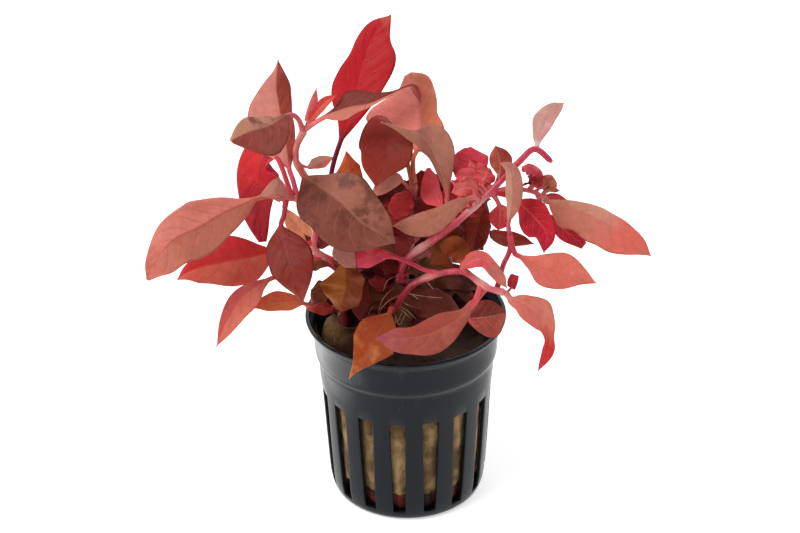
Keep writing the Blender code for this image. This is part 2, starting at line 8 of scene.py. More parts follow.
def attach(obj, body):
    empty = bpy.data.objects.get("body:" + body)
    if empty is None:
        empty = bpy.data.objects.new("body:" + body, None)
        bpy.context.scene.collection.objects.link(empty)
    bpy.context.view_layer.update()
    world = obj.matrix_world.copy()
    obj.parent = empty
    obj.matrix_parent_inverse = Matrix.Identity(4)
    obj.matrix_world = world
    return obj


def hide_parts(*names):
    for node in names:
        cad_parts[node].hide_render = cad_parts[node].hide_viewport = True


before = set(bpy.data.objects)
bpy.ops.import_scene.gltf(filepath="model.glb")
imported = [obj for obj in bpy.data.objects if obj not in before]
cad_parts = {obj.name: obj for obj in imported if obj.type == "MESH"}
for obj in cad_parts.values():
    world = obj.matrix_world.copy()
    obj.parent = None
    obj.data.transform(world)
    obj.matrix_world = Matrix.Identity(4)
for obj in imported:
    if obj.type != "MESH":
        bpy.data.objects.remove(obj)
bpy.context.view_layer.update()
bpy.ops.object.select_all(action="DESELECT")


# Net pot
# The small slotted basket that water plants are sold in. It is injection moulded in one piece from
# slate coloured plastic, with a flared lip, a plain collar, a soft step and 16 slots.
MM = 0.001
POT_SECTORS = 16
SECTOR_COLUMNS = 12
SLOT_COLUMNS = 5
FIRST_SLOT_DEGREES = -96.7
SLOT_FOOT = 2.6
SLOT_HEAD = 30.4
SLOT_FOOT_WIDTH = 3.0
SLOT_HEAD_WIDTH = 4.2
POT_WALL = 0.95
POT_CENTRE = 1.9
FLOOR_SLOT_RADIUS = 17.0
SOFT_EDGE = 0.16
POT_PROFILE = [
    (25.0, 49.95), (24.98, 49.5), (24.8, 49.0), (24.3, 48.6), (23.75, 48.2), (23.4, 47.6), (23.25, 46.8),
    (23.05, 44.0), (22.92, 41.8), (22.86, 40.7), (22.74, 40.0), (22.5, 39.5), (22.26, 39.1),
    (22.1, 38.5), (22.0, 37.4), (21.8, 34.0), (21.43, SLOT_HEAD), (21.1, 25.0), (20.75, 18.0),
    (20.35, 11.0), (20.0, 5.4), (19.56, SLOT_FOOT), (19.25, 1.5), (18.9, 0.7), (18.4, 0.2),
    (17.6, 0.0), (14.0, 0.0), (8.0, 0.0), (2.0, 0.0),
]


def tint(red, green, blue):
    """A colour as it looks on a screen, 0 to 255, turned into the linear values a shader wants."""
    def linear(value):
        part = value / 255.0
        return part / 12.92 if part <= 0.04045 else ((part + 0.055) / 1.055) ** 2.4
    return (linear(red), linear(green), linear(blue), 1.0)


def new_group(name, inputs, outputs):
    """An empty node group with named sockets; inputs is a list of (name, kind, default)."""
    group = bpy.data.node_groups.new(name, "ShaderNodeTree")
    kinds = {"colour": "NodeSocketColor", "number": "NodeSocketFloat", "place": "NodeSocketVector"}
    for label, kind, default in inputs:
        socket = group.interface.new_socket(name=label, in_out="INPUT", socket_type=kinds[kind])
        if default is not None:
            socket.default_value = default
    for label, kind in outputs:
        group.interface.new_socket(name=label, in_out="OUTPUT", socket_type=kinds[kind])
    start = group.nodes.new("NodeGroupInput")
    end = group.nodes.new("NodeGroupOutput")
    return group, start, end


def feed(tree, socket, source):
    """Joins a socket to another node's output, or sets its value."""
    if isinstance(source, bpy.types.NodeSocket):
        tree.links.new(source, socket)
    else:
        socket.default_value = source


def maths(tree, operation, first, second=0.0):
    node = tree.nodes.new("ShaderNodeMath")
    node.operation = operation
    feed(tree, node.inputs[0], first)
    feed(tree, node.inputs[1], second)
    return node.outputs[0]


def plus(tree, first, second):
    return maths(tree, "ADD", first, second)


def minus(tree, first, second):
    return maths(tree, "SUBTRACT", first, second)


def times(tree, first, second):
    return maths(tree, "MULTIPLY", first, second)


def ramp(tree, value, low, high, to_low=0.0, to_high=1.0):
    """A soft step: value between low and high is spread over to_low to to_high."""
    node = tree.nodes.new("ShaderNodeMapRange")
    node.interpolation_type = "SMOOTHSTEP"
    feed(tree, node.inputs["Value"], value)
    feed(tree, node.inputs["From Min"], low)
    feed(tree, node.inputs["From Max"], high)
    feed(tree, node.inputs["To Min"], to_low)
    feed(tree, node.inputs["To Max"], to_high)
    return node.outputs["Result"]


def blend(tree, share, first, second, kind="MIX"):
    """Two colours mixed by a share."""
    node = tree.nodes.new("ShaderNodeMix")
    node.data_type = "RGBA"
    node.blend_type = kind
    feed(tree, node.inputs["Factor"], share)
    feed(tree, node.inputs[6], first)
    feed(tree, node.inputs[7], second)
    return node.outputs[2]


def grain(tree, place, scale, detail=3.0, rough=0.55, stretch=(1.0, 1.0, 1.0)):
    """Noise on the piece's own coordinates."""
    mapping = tree.nodes.new("ShaderNodeMapping")
    mapping.inputs["Scale"].default_value = stretch
    tree.links.new(place, mapping.inputs["Vector"])
    node = tree.nodes.new("ShaderNodeTexNoise")
    tree.links.new(mapping.outputs["Vector"], node.inputs["Vector"])
    node.inputs["Scale"].default_value = scale
    node.inputs["Detail"].default_value = detail
    node.inputs["Roughness"].default_value = rough
    return node.outputs["Fac"]


def finish_from(group, name, values, roughness=None, bump=0.0, bump_depth=0.0003, **sockets):
    """A material whose colour, roughness and relief come from a node group."""
    material = bpy.data.materials.new(name)
    material.use_nodes = True
    tree = material.node_tree
    shader = tree.nodes["Principled BSDF"]
    node = tree.nodes.new("ShaderNodeGroup")
    node.node_tree = group
    for label, value in values.items():
        node.inputs[label].default_value = value
    tree.links.new(node.outputs["Colour"], shader.inputs["Base Color"])
    if roughness is None:
        tree.links.new(node.outputs["Roughness"], shader.inputs["Roughness"])
    else:
        shader.inputs["Roughness"].default_value = roughness
    if bump:
        relief = tree.nodes.new("ShaderNodeBump")
        relief.inputs["Strength"].default_value = bump
        relief.inputs["Distance"].default_value = bump_depth
        tree.links.new(node.outputs["Height"], relief.inputs["Height"])
        tree.links.new(relief.outputs["Normal"], shader.inputs["Normal"])
    for label, value in sockets.items():
        shader.inputs[label.replace("_", " ")].default_value = value
    return material


def object_place(tree):
    return tree.nodes.new("ShaderNodeTexCoord").outputs["Object"]


moulded, given, result = new_group(
    "moulded_plastic",
    [("Plastic", "colour", (0.02, 0.03, 0.035, 1.0)), ("Film", "colour", (0.08, 0.09, 0.09, 1.0))],
    [("Colour", "colour"), ("Roughness", "number"), ("Height", "number")])
place = object_place(moulded)
cloud = grain(moulded, place, 90.0, 4.0)
speck = grain(moulded, place, 2600.0, 2.0)
drips = grain(moulded, place, 420.0, 3.0, 0.6, (1.0, 1.0, 0.25))
film = times(moulded, ramp(moulded, drips, 0.56, 0.74), ramp(moulded, cloud, 0.42, 0.66))
skin = blend(moulded, film, given.outputs["Plastic"], given.outputs["Film"])
moulded.links.new(skin, result.inputs["Colour"])
gloss = ramp(moulded, cloud, 0.3, 0.7, 0.16, 0.24)
moulded.links.new(plus(moulded, gloss, times(moulded, film, 0.2)), result.inputs["Roughness"])
moulded.links.new(plus(moulded, times(moulded, speck, 0.25), cloud), result.inputs["Height"])
slate = finish_from(moulded, "slate_pot_plastic",
                    {"Plastic": tint(19, 25, 31), "Film": tint(40, 48, 52)},
                    bump=0.2, bump_depth=0.0003, Specular_IOR_Level=0.16)

columns = POT_SECTORS * SECTOR_COLUMNS
bpy.ops.mesh.primitive_circle_add(vertices=columns, radius=POT_PROFILE[0][0] * MM,
                                  location=(0.0, 0.0, POT_PROFILE[0][1] * MM))
pot = bpy.context.object
pot.name = "net_pot"
bpy.ops.object.transform_apply(location=True)
bpy.ops.object.mode_set(mode="EDIT")
bpy.ops.mesh.select_all(action="SELECT")
for (upper_radius, upper), (lower_radius, lower) in zip(POT_PROFILE, POT_PROFILE[1:]):
    bpy.ops.mesh.extrude_edges_move(TRANSFORM_OT_translate={"value": (0, 0, (lower - upper) * MM)})
    narrowing = lower_radius / upper_radius
    bpy.ops.transform.resize(value=(narrowing, narrowing, 1.0), center_override=(0, 0, lower * MM))
bpy.ops.mesh.merge(type="CENTER")
bpy.ops.mesh.select_all(action="SELECT")
bpy.ops.mesh.normals_make_consistent(inside=False)
bpy.ops.mesh.select_all(action="DESELECT")
bpy.ops.object.mode_set(mode="OBJECT")

step = math.tau / columns
sector = math.tau / POT_SECTORS
for face in pot.data.polygons:
    middle = sum((pot.data.vertices[index].co for index in face.vertices), Vector()) / len(face.vertices)
    column = int(math.floor(math.atan2(middle.y, middle.x) % math.tau / step)) % SECTOR_COLUMNS
    face.select = column < SLOT_COLUMNS and SLOT_FOOT < middle.z / MM < SLOT_HEAD
for corner in pot.data.vertices:
    radius = math.hypot(corner.co.x, corner.co.y)
    if radius < POT_CENTRE * MM:
        continue
    count = round(math.atan2(corner.co.y, corner.co.x) % math.tau / step) % columns
    number, column = divmod(count, SECTOR_COLUMNS)
    rise = min(max((corner.co.z / MM - SLOT_FOOT) / (SLOT_HEAD - SLOT_FOOT), 0.0), 1.0)
    width = SLOT_FOOT_WIDTH + (SLOT_HEAD_WIDTH - SLOT_FOOT_WIDTH) * rise
    half = width / 2 / max(radius / MM, FLOOR_SLOT_RADIUS)
    if column <= SLOT_COLUMNS:
        turn = half * (2.0 * column / SLOT_COLUMNS - 1.0)
    else:
        share = (column - SLOT_COLUMNS) / (SECTOR_COLUMNS - SLOT_COLUMNS)
        turn = half + (sector - 2.0 * half) * share
    angle = math.radians(FIRST_SLOT_DEGREES) + number * sector + turn
    corner.co.x = radius * math.cos(angle)
    corner.co.y = radius * math.sin(angle)
bpy.ops.object.mode_set(mode="EDIT")
bpy.ops.mesh.select_mode(type="FACE")
bpy.ops.mesh.delete(type="FACE")
bpy.ops.object.mode_set(mode="OBJECT")
wall = pot.modifiers.new("wall", "SOLIDIFY")
wall.thickness = POT_WALL * MM
wall.offset = -1.0
wall.use_even_offset = True
bpy.ops.object.modifier_apply(modifier="wall")
soft_edges = pot.modifiers.new("soft edges", "BEVEL")
soft_edges.width = SOFT_EDGE * MM
soft_edges.segments = 2
soft_edges.limit_method = "ANGLE"
soft_edges.angle_limit = math.radians(50)
bpy.ops.object.modifier_apply(modifier="soft edges")
bpy.ops.object.shade_smooth_by_angle(angle=math.radians(40))
pot.data.materials.append(slate)
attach(pot, "root")
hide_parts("pot")


# Mineral wool
# A plug of damp khaki rock fibre, cut from a block and pushed into the pot round the stems. It
# bulges into the slots, is torn and uneven on top, and dark red with roots at its foot. Its top, all
# but a raised tuft at the left, is darkened with painted shade of the crown.
WOOL_COLUMNS = 192
WOOL_RINGS = [
    (20.9, 40.6), (21.2, 39.8), (21.1, 38.6), (20.7, 36.0), (20.4, 33.0), (20.2, 31.2), (20.1, 29.6),
    (20.0, 28.0), (19.9, 26.0), (19.8, 24.0), (19.7, 22.0), (19.6, 20.0), (19.5, 18.0), (19.4, 16.0),
    (19.3, 14.0), (19.2, 12.0), (19.1, 10.0), (18.9, 8.2), (18.8, 7.2), (18.6, 5.0), (18.2, 3.2),
    (17.4, 2.1),
]
WOOL_TOP_RINGS = [20.4, 19.2, 17.8, 16.2, 14.4, 12.6, 10.8, 9.0, 7.2, 5.4, 3.6, 1.8]
WOOL_TOP = 41.0
TUFT_PLACE = (-17.0, 2.0)
TUFT_RISE = 5.4
TUFT_SPREAD = 52.0
TOP_SWELL = 1.0
TOP_LUMPS = 0.9
WOOL_SHOULDER = 20.0
SHOULDER_DROP = 1.2
WOOL_CLEARANCE = 0.5
SLOT_BULGE = 0.75
BULGE_TURN = 0.075
BULGE_HEAD = 31.5
FOOT_PINCH = 0.77
FOOT_PINCH_HEAD = 8.0
SIDE_ROUGHNESS = 0.42


def wool_top_height(x, y):
    """The torn top of the plug: a slow swell, a raised tuft at the left, and small lumps."""
    swell = TOP_SWELL * math.sin(x * 0.31 + 0.8) * math.cos(y * 0.27 - 0.5)
    tuft = TUFT_RISE * math.exp(-((x - TUFT_PLACE[0]) ** 2 + (y - TUFT_PLACE[1]) ** 2) / TUFT_SPREAD)
    lumps = TOP_LUMPS * noise.fractal(Vector((x * 0.3, y * 0.3, 3.0)), 0.8, 2.1, 4)
    return WOOL_TOP + swell + tuft + lumps


fibre, given, result = new_group(
    "mineral_wool",
    [("Fibre", "colour", (0.3, 0.2, 0.1, 1.0)), ("Damp and shade", "colour", (0.08, 0.05, 0.03, 1.0)),
     ("Foot", "colour", (0.1, 0.01, 0.01, 1.0)), ("Pit", "colour", (0.01, 0.01, 0.01, 1.0))],
    [("Colour", "colour"), ("Roughness", "number"), ("Height", "number")])
place = object_place(fibre)
parts = fibre.nodes.new("ShaderNodeSeparateXYZ")
fibre.links.new(place, parts.inputs["Vector"])
cloud = grain(fibre, place, 130.0, 4.0)
strand = grain(fibre, place, 900.0, 4.0, 0.7, (1.0, 1.0, 0.22))
fleck = grain(fibre, place, 520.0, 3.0, 0.6)
tone = blend(fibre, ramp(fibre, cloud, 0.38, 0.62), given.outputs["Fibre"], tint(96, 70, 42))
tone = blend(fibre, ramp(fibre, strand, 0.42, 0.72, 0.0, 0.4), tone, tint(92, 70, 44))
tone = blend(fibre, ramp(fibre, fleck, 0.62, 0.72, 0.0, 0.75), tone, given.outputs["Damp and shade"])
# Painted shade: the top of the plug, all but round the tuft, is mixed to the dark damp colour as the shade
# that the crown casts on it, and the tuft is left light.
off_tuft = [times(fibre, minus(fibre, parts.outputs[axis], middle * MM), 90.0)
            for axis, middle in zip("XY", TUFT_PLACE)]
away = plus(fibre, *[times(fibre, distance, distance) for distance in off_tuft])
over_top = ramp(fibre, parts.outputs["Z"], 0.0362, 0.0392)
away = plus(fibre, away, times(fibre, cloud, 0.5))
painted_top_shade = times(fibre, over_top, ramp(fibre, away, 0.45, 1.0))
tone = blend(fibre, painted_top_shade, tone, given.outputs["Damp and shade"])
foot_line = plus(fibre, parts.outputs["Z"], times(fibre, cloud, 0.0016))
foot_mask = ramp(fibre, foot_line, 0.0086, 0.0078)
foot_tone = blend(fibre, ramp(fibre, grain(fibre, place, 330.0, 3.0), 0.45, 0.6),
                  given.outputs["Foot"], given.outputs["Pit"])
fibre.links.new(blend(fibre, foot_mask, tone, foot_tone), result.inputs["Colour"])
result.inputs["Roughness"].default_value = 0.9
fibre.links.new(plus(fibre, strand, times(fibre, fleck, 0.5)), result.inputs["Height"])
khaki = finish_from(fibre, "damp_mineral_wool", {
    "Fibre": tint(162, 132, 86), "Damp and shade": tint(60, 38, 26), "Foot": tint(104, 30, 26),
    "Pit": tint(34, 10, 10)}, roughness=0.92, bump=0.9, bump_depth=0.0009)

bpy.ops.mesh.primitive_circle_add(vertices=WOOL_COLUMNS, radius=WOOL_TOP_RINGS[-1] * MM,
                                  location=(0.0, 0.0, WOOL_TOP * MM))
wool = bpy.context.object
wool.name = "wool_plug"
bpy.ops.object.transform_apply(location=True)
bpy.ops.object.mode_set(mode="EDIT")
bpy.ops.mesh.select_all(action="SELECT")
rings = [(radius, WOOL_TOP) for radius in reversed(WOOL_TOP_RINGS)] + WOOL_RINGS
for (first_radius, first), (next_radius, following) in zip(rings, rings[1:]):
    bpy.ops.mesh.extrude_edges_move(TRANSFORM_OT_translate={"value": (0, 0, (following - first) * MM)})
    change = next_radius / first_radius
    bpy.ops.transform.resize(value=(change, change, 1.0), center_override=(0, 0, following * MM))
bpy.ops.mesh.edge_face_add()
bpy.ops.mesh.select_all(action="DESELECT")
bpy.ops.object.mode_set(mode="OBJECT")
for edge in wool.data.edges:
    ends = [wool.data.vertices[index].co for index in edge.vertices]
    edge.select = all(math.hypot(end.x, end.y) < (WOOL_TOP_RINGS[-1] + 0.1) * MM for end in ends)
bpy.ops.object.mode_set(mode="EDIT")
bpy.ops.mesh.select_mode(type="EDGE")
bpy.ops.mesh.edge_face_add()
bpy.ops.mesh.select_all(action="SELECT")
bpy.ops.mesh.normals_make_consistent(inside=False)
bpy.ops.mesh.select_all(action="DESELECT")
bpy.ops.object.mode_set(mode="OBJECT")
for corner in wool.data.vertices:
    x, y, z = corner.co / MM
    radius = math.hypot(x, y)
    angle = math.atan2(y, x)
    if z > WOOL_TOP - 0.5 - 2.0 * (radius > 20.5):
        edge_drop = max(0.0, radius - WOOL_SHOULDER) * SHOULDER_DROP
        corner.co.z = (wool_top_height(x, y) - edge_drop) * MM
    roughness_here = noise.fractal(Vector((x * 0.55, y * 0.55, z * 0.3)), 0.9, 2.0, 4)
    if 3.0 < z < 33.0 and radius > 15.0:
        turn = (angle - math.radians(FIRST_SLOT_DEGREES) + sector / 2) % sector - sector / 2
        bulge = math.exp(-(turn / BULGE_TURN) ** 2) * min(1.0, max(0.0, BULGE_HEAD - z) / 3.0)
        pinch = FOOT_PINCH if z < FOOT_PINCH_HEAD else 0.0
        radius_new = radius - WOOL_CLEARANCE - pinch + bulge * SLOT_BULGE + SIDE_ROUGHNESS * roughness_here
        corner.co.x = radius_new * math.cos(angle) * MM
        corner.co.y = radius_new * math.sin(angle) * MM
bpy.ops.object.shade_smooth()
wool.data.materials.append(khaki)
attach(wool, "root")
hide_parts("rock_wool")


# Stems
# Five shoots rooted in the wool and two side branches. They are smooth, juicy and pink, a little
# swollen and paler at each node, where a pair of leaves stands. What the photograph shows of them
# is placed by its pixels (across, down) and a judged depth; what the pot hides is placed in mm.
STEM_RADIUS = 0.95
STEM_TIP_RADIUS = 0.75
SHOOT_RADIUS = 0.7
SHOOT_TIP_RADIUS = 0.5
NODE_SWELLING = 0.26
STEM_UNEVENNESS = 0.05
STEM_FOOT = 30.0
STEM_STEPS = 90
VIEW_AIM = Vector((-1.25, 0.0, 63.1))
VIEW_DISTANCE = 548.0
VIEW_DOWN = math.radians(30.2)
VIEW_ROLL = math.radians(-0.85)
VIEW_FOCAL = 2230.0
PHOTO_WIDTH = 800.0
PHOTO_MIDDLE = (400.0, 266.5)

forward = Vector((0.0, math.cos(VIEW_DOWN), -math.sin(VIEW_DOWN)))
level = Vector((1.0, 0.0, 0.0))
upright = level.cross(forward)
view_right = level * math.cos(VIEW_ROLL) + upright * math.sin(VIEW_ROLL)
view_up = upright * math.cos(VIEW_ROLL) - level * math.sin(VIEW_ROLL)
view_point = VIEW_AIM - forward * VIEW_DISTANCE


def seen(across, down, depth):
    """The place in mm that the photograph shows at a pixel, at a depth (y) in the object."""
    ray = (forward + view_right * (across - PHOTO_MIDDLE[0]) / VIEW_FOCAL
           + view_up * (PHOTO_MIDDLE[1] - down) / VIEW_FOCAL)
    return view_point + ray * ((depth - view_point.y) / ray.y)


def even_places(places, steps):
    """The same route, measured out again in equal steps."""
    lengths = [0.0]
    for first, second in zip(places, places[1:]):
        lengths.append(lengths[-1] + (second - first).length)
    measured = []
    index = 0
    for number in range(steps + 1):
        target = lengths[-1] * number / steps
        while index < len(lengths) - 2 and lengths[index + 1] < target:
            index += 1
        stretch = lengths[index + 1] - lengths[index]
        share = (target - lengths[index]) / stretch if stretch > 0 else 0.0
        measured.append(places[index].lerp(places[index + 1], min(max(share, 0.0), 1.0)))
    return measured


def smooth_route(points, steps):
    """Evenly spaced places on a smooth curve through the given points."""
    knots = [Vector(point) for point in points]
    knots = [knots[0] * 2 - knots[1]] + knots + [knots[-1] * 2 - knots[-2]]
    fine = []
    for index in range(1, len(knots) - 2):
        before, start, end, after = knots[index - 1:index + 3]
        for piece in range(24):
            share = piece / 24
            cubic = (start * 3 - before - end * 3 + after) * share ** 3
            square = (before * 2 - start * 5 + end * 4 - after) * share ** 2
            fine.append((start * 2 + (end - before) * share + square + cubic) / 2)
    fine.append(knots[-2])
    return even_places(fine, steps)


def make_tube(name, places, radii, sides, material):
    """A round stalk along a route: a path curve with a radius at each place, made into a mesh."""
    bpy.ops.object.select_all(action="DESELECT")
    bpy.ops.curve.primitive_nurbs_path_add(location=(0.0, 0.0, 0.0))
    tube = bpy.context.object
    tube.name = name
    curve = tube.data
    curve.splines.clear()
    line = curve.splines.new("POLY")
    line.points.add(len(places) - 1)
    for point, place, radius in zip(line.points, places, radii):
        point.co = (*(place * MM), 1.0)
        point.radius = radius
    curve.bevel_depth = MM
    curve.bevel_resolution = sides
    curve.use_fill_caps = True
    bpy.ops.object.convert(target="MESH")
    tube = bpy.context.object
    bpy.ops.object.mode_set(mode="EDIT")
    bpy.ops.mesh.select_all(action="SELECT")
    bpy.ops.mesh.remove_doubles(threshold=0.000001)
    bpy.ops.mesh.normals_make_consistent(inside=False)
    bpy.ops.mesh.select_all(action="DESELECT")
    bpy.ops.object.mode_set(mode="OBJECT")
    bpy.ops.object.shade_smooth()
    tube.data.materials.append(material)
    return tube


stalk, given, result = new_group(
    "stalk_skin",
    [("Skin", "colour", (0.6, 0.1, 0.12, 1.0)), ("Deep", "colour", (0.4, 0.03, 0.06, 1.0)),
     ("Node", "colour", (0.8, 0.4, 0.4, 1.0))],
    [("Colour", "colour"), ("Roughness", "number"), ("Height", "number")])
place = object_place(stalk)
cloud = grain(stalk, place, 210.0, 4.0)
ribs = grain(stalk, place, 1500.0, 3.0, 0.6, (1.0, 1.0, 0.15))
pale = stalk.nodes.new("ShaderNodeAttribute")
pale.attribute_name = "pale"
tone = blend(stalk, ramp(stalk, cloud, 0.4, 0.65, 0.0, 0.75), given.outputs["Skin"], given.outputs["Deep"])
tone = blend(stalk, ramp(stalk, ribs, 0.5, 0.75, 0.0, 0.3), tone, given.outputs["Node"])
tone = blend(stalk, times(stalk, pale.outputs["Fac"], ramp(stalk, cloud, 0.3, 0.6, 0.6, 1.0)),
             tone, given.outputs["Node"])
stalk.links.new(tone, result.inputs["Colour"])
stalk.links.new(ramp(stalk, cloud, 0.3, 0.7, 0.36, 0.5), result.inputs["Roughness"])
stalk.links.new(ribs, result.inputs["Height"])


def make_stem(name, buried, line, radius, tip_radius, nodes, skin, deep, joint):
    """One stem with a swelling at each node; nodes are shares of its length."""
    steps = STEM_STEPS
    route = smooth_route(buried + [seen(*place) for place in line], steps)
    radii = []
    paleness = []
    for index, place in enumerate(route):
        share = index / steps
        swelling = sum(math.exp(-((share - node) * steps / 2.2) ** 2) for node in nodes)
        plain = radius + (tip_radius - radius) * share
        uneven = STEM_UNEVENNESS * noise.noise(place * 0.35)
        radii.append(plain * (1.0 + NODE_SWELLING * min(swelling, 1.0) + uneven))
        paleness.append(min(1.0, sum(math.exp(-((share - node) * steps / 3.5) ** 2) for node in nodes)))
    radii[-1] *= 0.55
    colours = {"Skin": tint(*skin), "Deep": tint(*deep), "Node": tint(*joint)}
    material = finish_from(stalk, name + "_skin", colours, bump=0.35, bump_depth=0.0002,
                           Subsurface_Weight=0.15, Subsurface_Scale=0.0012)
    stem = make_tube(name, route, radii, 5, material)
    pale_mark = stem.data.attributes.new("pale", "FLOAT", "POINT")
    for corner in stem.data.vertices:
        here = corner.co / MM
        nearest = min(range(0, steps + 1), key=lambda index: (route[index] - here).length_squared)
        pale_mark.data[corner.index].value = paleness[nearest]
    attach(stem, "root")
    return {"piece": stem, "route": route, "radius": radius}


left_tall_line = [(356, 276, 4), (328, 212, 1), (299, 167, -1), (296, 157, -1), (297, 145, -1),
                  (305, 129, 0)]
left_tall = make_stem("left_tall_stalk", [(-9.0, 6.0, STEM_FOOT), (-10.5, 5.0, 45.0)], left_tall_line,
                      STEM_RADIUS, STEM_TIP_RADIUS, [0.66, 0.86, 0.99], (200, 92, 92), (184, 62, 70),
                      (220, 140, 126))
left_low_line = [(340, 283, 1), (338, 264, -3), (315, 251, -5), (315, 230, -6), (306, 212, -7),
                 (297, 199, -8), (280, 199, -9)]
left_low = make_stem("left_low_stalk", [(-13.0, 0.0, STEM_FOOT), (-15.0, 0.5, 45.0)], left_low_line,
                     STEM_RADIUS, STEM_TIP_RADIUS, [0.52, 0.66, 0.92], (196, 60, 74), (176, 36, 50),
                     (224, 140, 134))
centre_line = [(405, 290, 7), (406, 257, 6), (411, 240, 7), (414, 183, 8)]
centre = make_stem("centre_stalk", [(1.0, 9.0, STEM_FOOT), (0.2, 8.0, 50.0)], centre_line,
                   STEM_RADIUS, STEM_TIP_RADIUS, [0.7, 0.97], (170, 64, 60), (130, 34, 38),
                   (200, 120, 104))
right_line = [(397, 290, 0), (407, 259, -2), (444, 233, -6), (482, 199, -4), (493, 189, -3), (519, 162, 0),
              (535, 149, 2), (552, 162, 1)]
right = make_stem("right_stalk", [(-3.5, 3.0, STEM_FOOT), (-3.0, 2.0, 46.0)], right_line,
                  STEM_RADIUS, STEM_TIP_RADIUS, [0.50, 0.71], (194, 46, 72), (168, 24, 50),
                  (230, 164, 160))
right_branch_line = [(484, 197, -4), (506, 189, -2), (530, 191, 2), (545, 198, 4)]
right_branch = make_stem("right_branch_stalk", [], right_branch_line, SHOOT_RADIUS, SHOOT_TIP_RADIUS, [0.97],
                         (200, 84, 92), (184, 60, 70), (214, 120, 116))
front_line = [(395, 311, -4), (410, 287, -9), (434, 275, -13), (463, 272, -15), (486, 287, -17),
              (506, 293, -18)]
front = make_stem("front_stalk", [(-5.0, -2.0, STEM_FOOT), (-4.0, -2.5, 45.0)], front_line,
                  STEM_RADIUS, STEM_TIP_RADIUS, [0.67, 0.9, 0.99], (186, 50, 66), (150, 24, 40),
                  (226, 140, 140))
front_branch_line = [(497, 289, -16), (503, 266, -14), (510, 248, -12), (508, 222, -10)]
front_branch = make_stem("front_branch_stalk", [], front_branch_line, SHOOT_RADIUS, SHOOT_TIP_RADIUS, [0.9],
                         (180, 38, 68), (146, 22, 44), (196, 84, 96))
for stem, node in ((left_tall, "left_tall_stem"), (left_low, "left_low_stem"), (centre, "centre_stem"),
                   (right, "right_stem"), (right_branch, "right_shoot"), (front, "front_stem"),
                   (front_branch, "front_shoot")):
    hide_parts(node)


# Leaf blank
# Every leaf is shaped from a copy of this one, a closed tube of rings that is pressed flat into a
# blade with a midrib and side veins, and left round where it is the leaf's stalk.
LEAF_RING = 44
LEAF_ROWS = 56
FOOT_ROWS = 4
PETIOLE_WIDTH = 1.2
PETIOLE_SHARE = 0.2
PETIOLE_FADE = 5.2
BLADE_THICKNESS = 0.26
TIP_HALF_WIDTH = 0.12
LANCE_STEPS = 6
LANCE_FULLNESS = 0.75
LEAF_STEPS = 120
SIDE_VEINS = 9
VEIN_SLANT = 0.2
VEIN_CURVE = 1.25
VEIN_RELIEF = 0.085
MIDRIB_HALF_WIDTH = 0.42
MIDRIB_FURROW = 0.12
MIDRIB_KEEL = 0.34
LEAF_CUP = -0.08
VALLEY_ROUNDING = 0.012
VALLEY_DEPTH = 0.1095
WAVE_POWER = 1.6
LEFT_WAVE_LAG = 2.1
SHEATH_SWELLING = 0.35
SHEATH_ROWS = 3.5
STALK_HEIGHT = 0.52
STEM_CLEARANCE = 0.8
TOWARDS_FRONT = (0.0, -0.80, 0.60)

bpy.ops.object.select_all(action="DESELECT")
bpy.ops.mesh.primitive_cylinder_add(vertices=LEAF_RING, radius=1.0, depth=1.0, location=(0.0, 0.0, 0.0))
blank = bpy.context.object
blank.name = "leaf_blank"
bpy.ops.object.mode_set(mode="EDIT")
bpy.ops.mesh.select_all(action="DESELECT")
bpy.ops.mesh.select_mode(type="EDGE")
bpy.ops.object.mode_set(mode="OBJECT")
for edge in blank.data.edges:
    first, second = (blank.data.vertices[index].co for index in edge.vertices)
    edge.select = abs(first.z - second.z) > 0.5
bpy.ops.object.mode_set(mode="EDIT")
bpy.ops.mesh.subdivide(number_cuts=LEAF_ROWS + FOOT_ROWS - 1)
bpy.ops.mesh.select_all(action="DESELECT")
bpy.ops.object.mode_set(mode="OBJECT")
bpy.ops.object.shade_smooth()


def ring_place(corner):
    """Where a corner of the blank stands: row along the leaf, place across it, and which side."""
    row = round((corner.z + 0.5) * (LEAF_ROWS + FOOT_ROWS))
    turn = round((math.atan2(corner.y, corner.x) % math.tau) / math.tau * LEAF_RING) % LEAF_RING
    if turn <= LEAF_RING // 2:
        return row, 1.0 - 4.0 * turn / LEAF_RING, 1.0 if 0 < turn < LEAF_RING // 2 else 0.0
    return row, 4.0 * turn / LEAF_RING - 3.0, -1.0


blank_places = [ring_place(corner.co) for corner in blank.data.vertices]
leaf_map = blank.data.uv_layers.active
leaf_map.name = "leaf"
under_mark = blank.data.attributes.new("underside", "FLOAT", "FACE")
for face in blank.data.polygons:
    sides = [blank_places[index][2] for index in face.vertices]
    under_mark.data[face.index].value = 1.0 if sum(sides) < 0 else 0.0
    for loop in face.loop_indices:
        row, across, side = blank_places[blank.data.loops[loop].vertex_index]
        leaf_map.data[loop].uv = ((across + 1.0) / 2, max(0.0, (row - FOOT_ROWS) / LEAF_ROWS))
blank.hide_render = True


def nearest_distance(place, route):
    return min((place - other).length for other in route)


def lance(width):
    """How far a plain lance-shaped blade reaches to its left and right, at even steps along it."""
    reach = []
    for number in range(LANCE_STEPS + 1):
        share = number / LANCE_STEPS
        half = width / 2 * (4.0 * share * (1.0 - share)) ** LANCE_FULLNESS
        reach.append((half, half))
    return reach


def smooth_value(knots, share):
    """A value read between evenly spaced knots on a smooth curve."""
    spot = share * (len(knots) - 1)
    index = min(int(spot), len(knots) - 2)
    part = spot - index
    start, end = knots[index], knots[index + 1]
    before = knots[index - 1] if index else start * 2 - end
    after = knots[index + 2] if index < len(knots) - 2 else end * 2 - start
    cubic = (start * 3 - before - end * 3 + after) * part ** 3
    square = (before * 2 - start * 5 + end * 4 - after) * part ** 2
    curved = (start * 2 + (end - before) * part + square + cubic) / 2
    return max(curved, TIP_HALF_WIDTH)


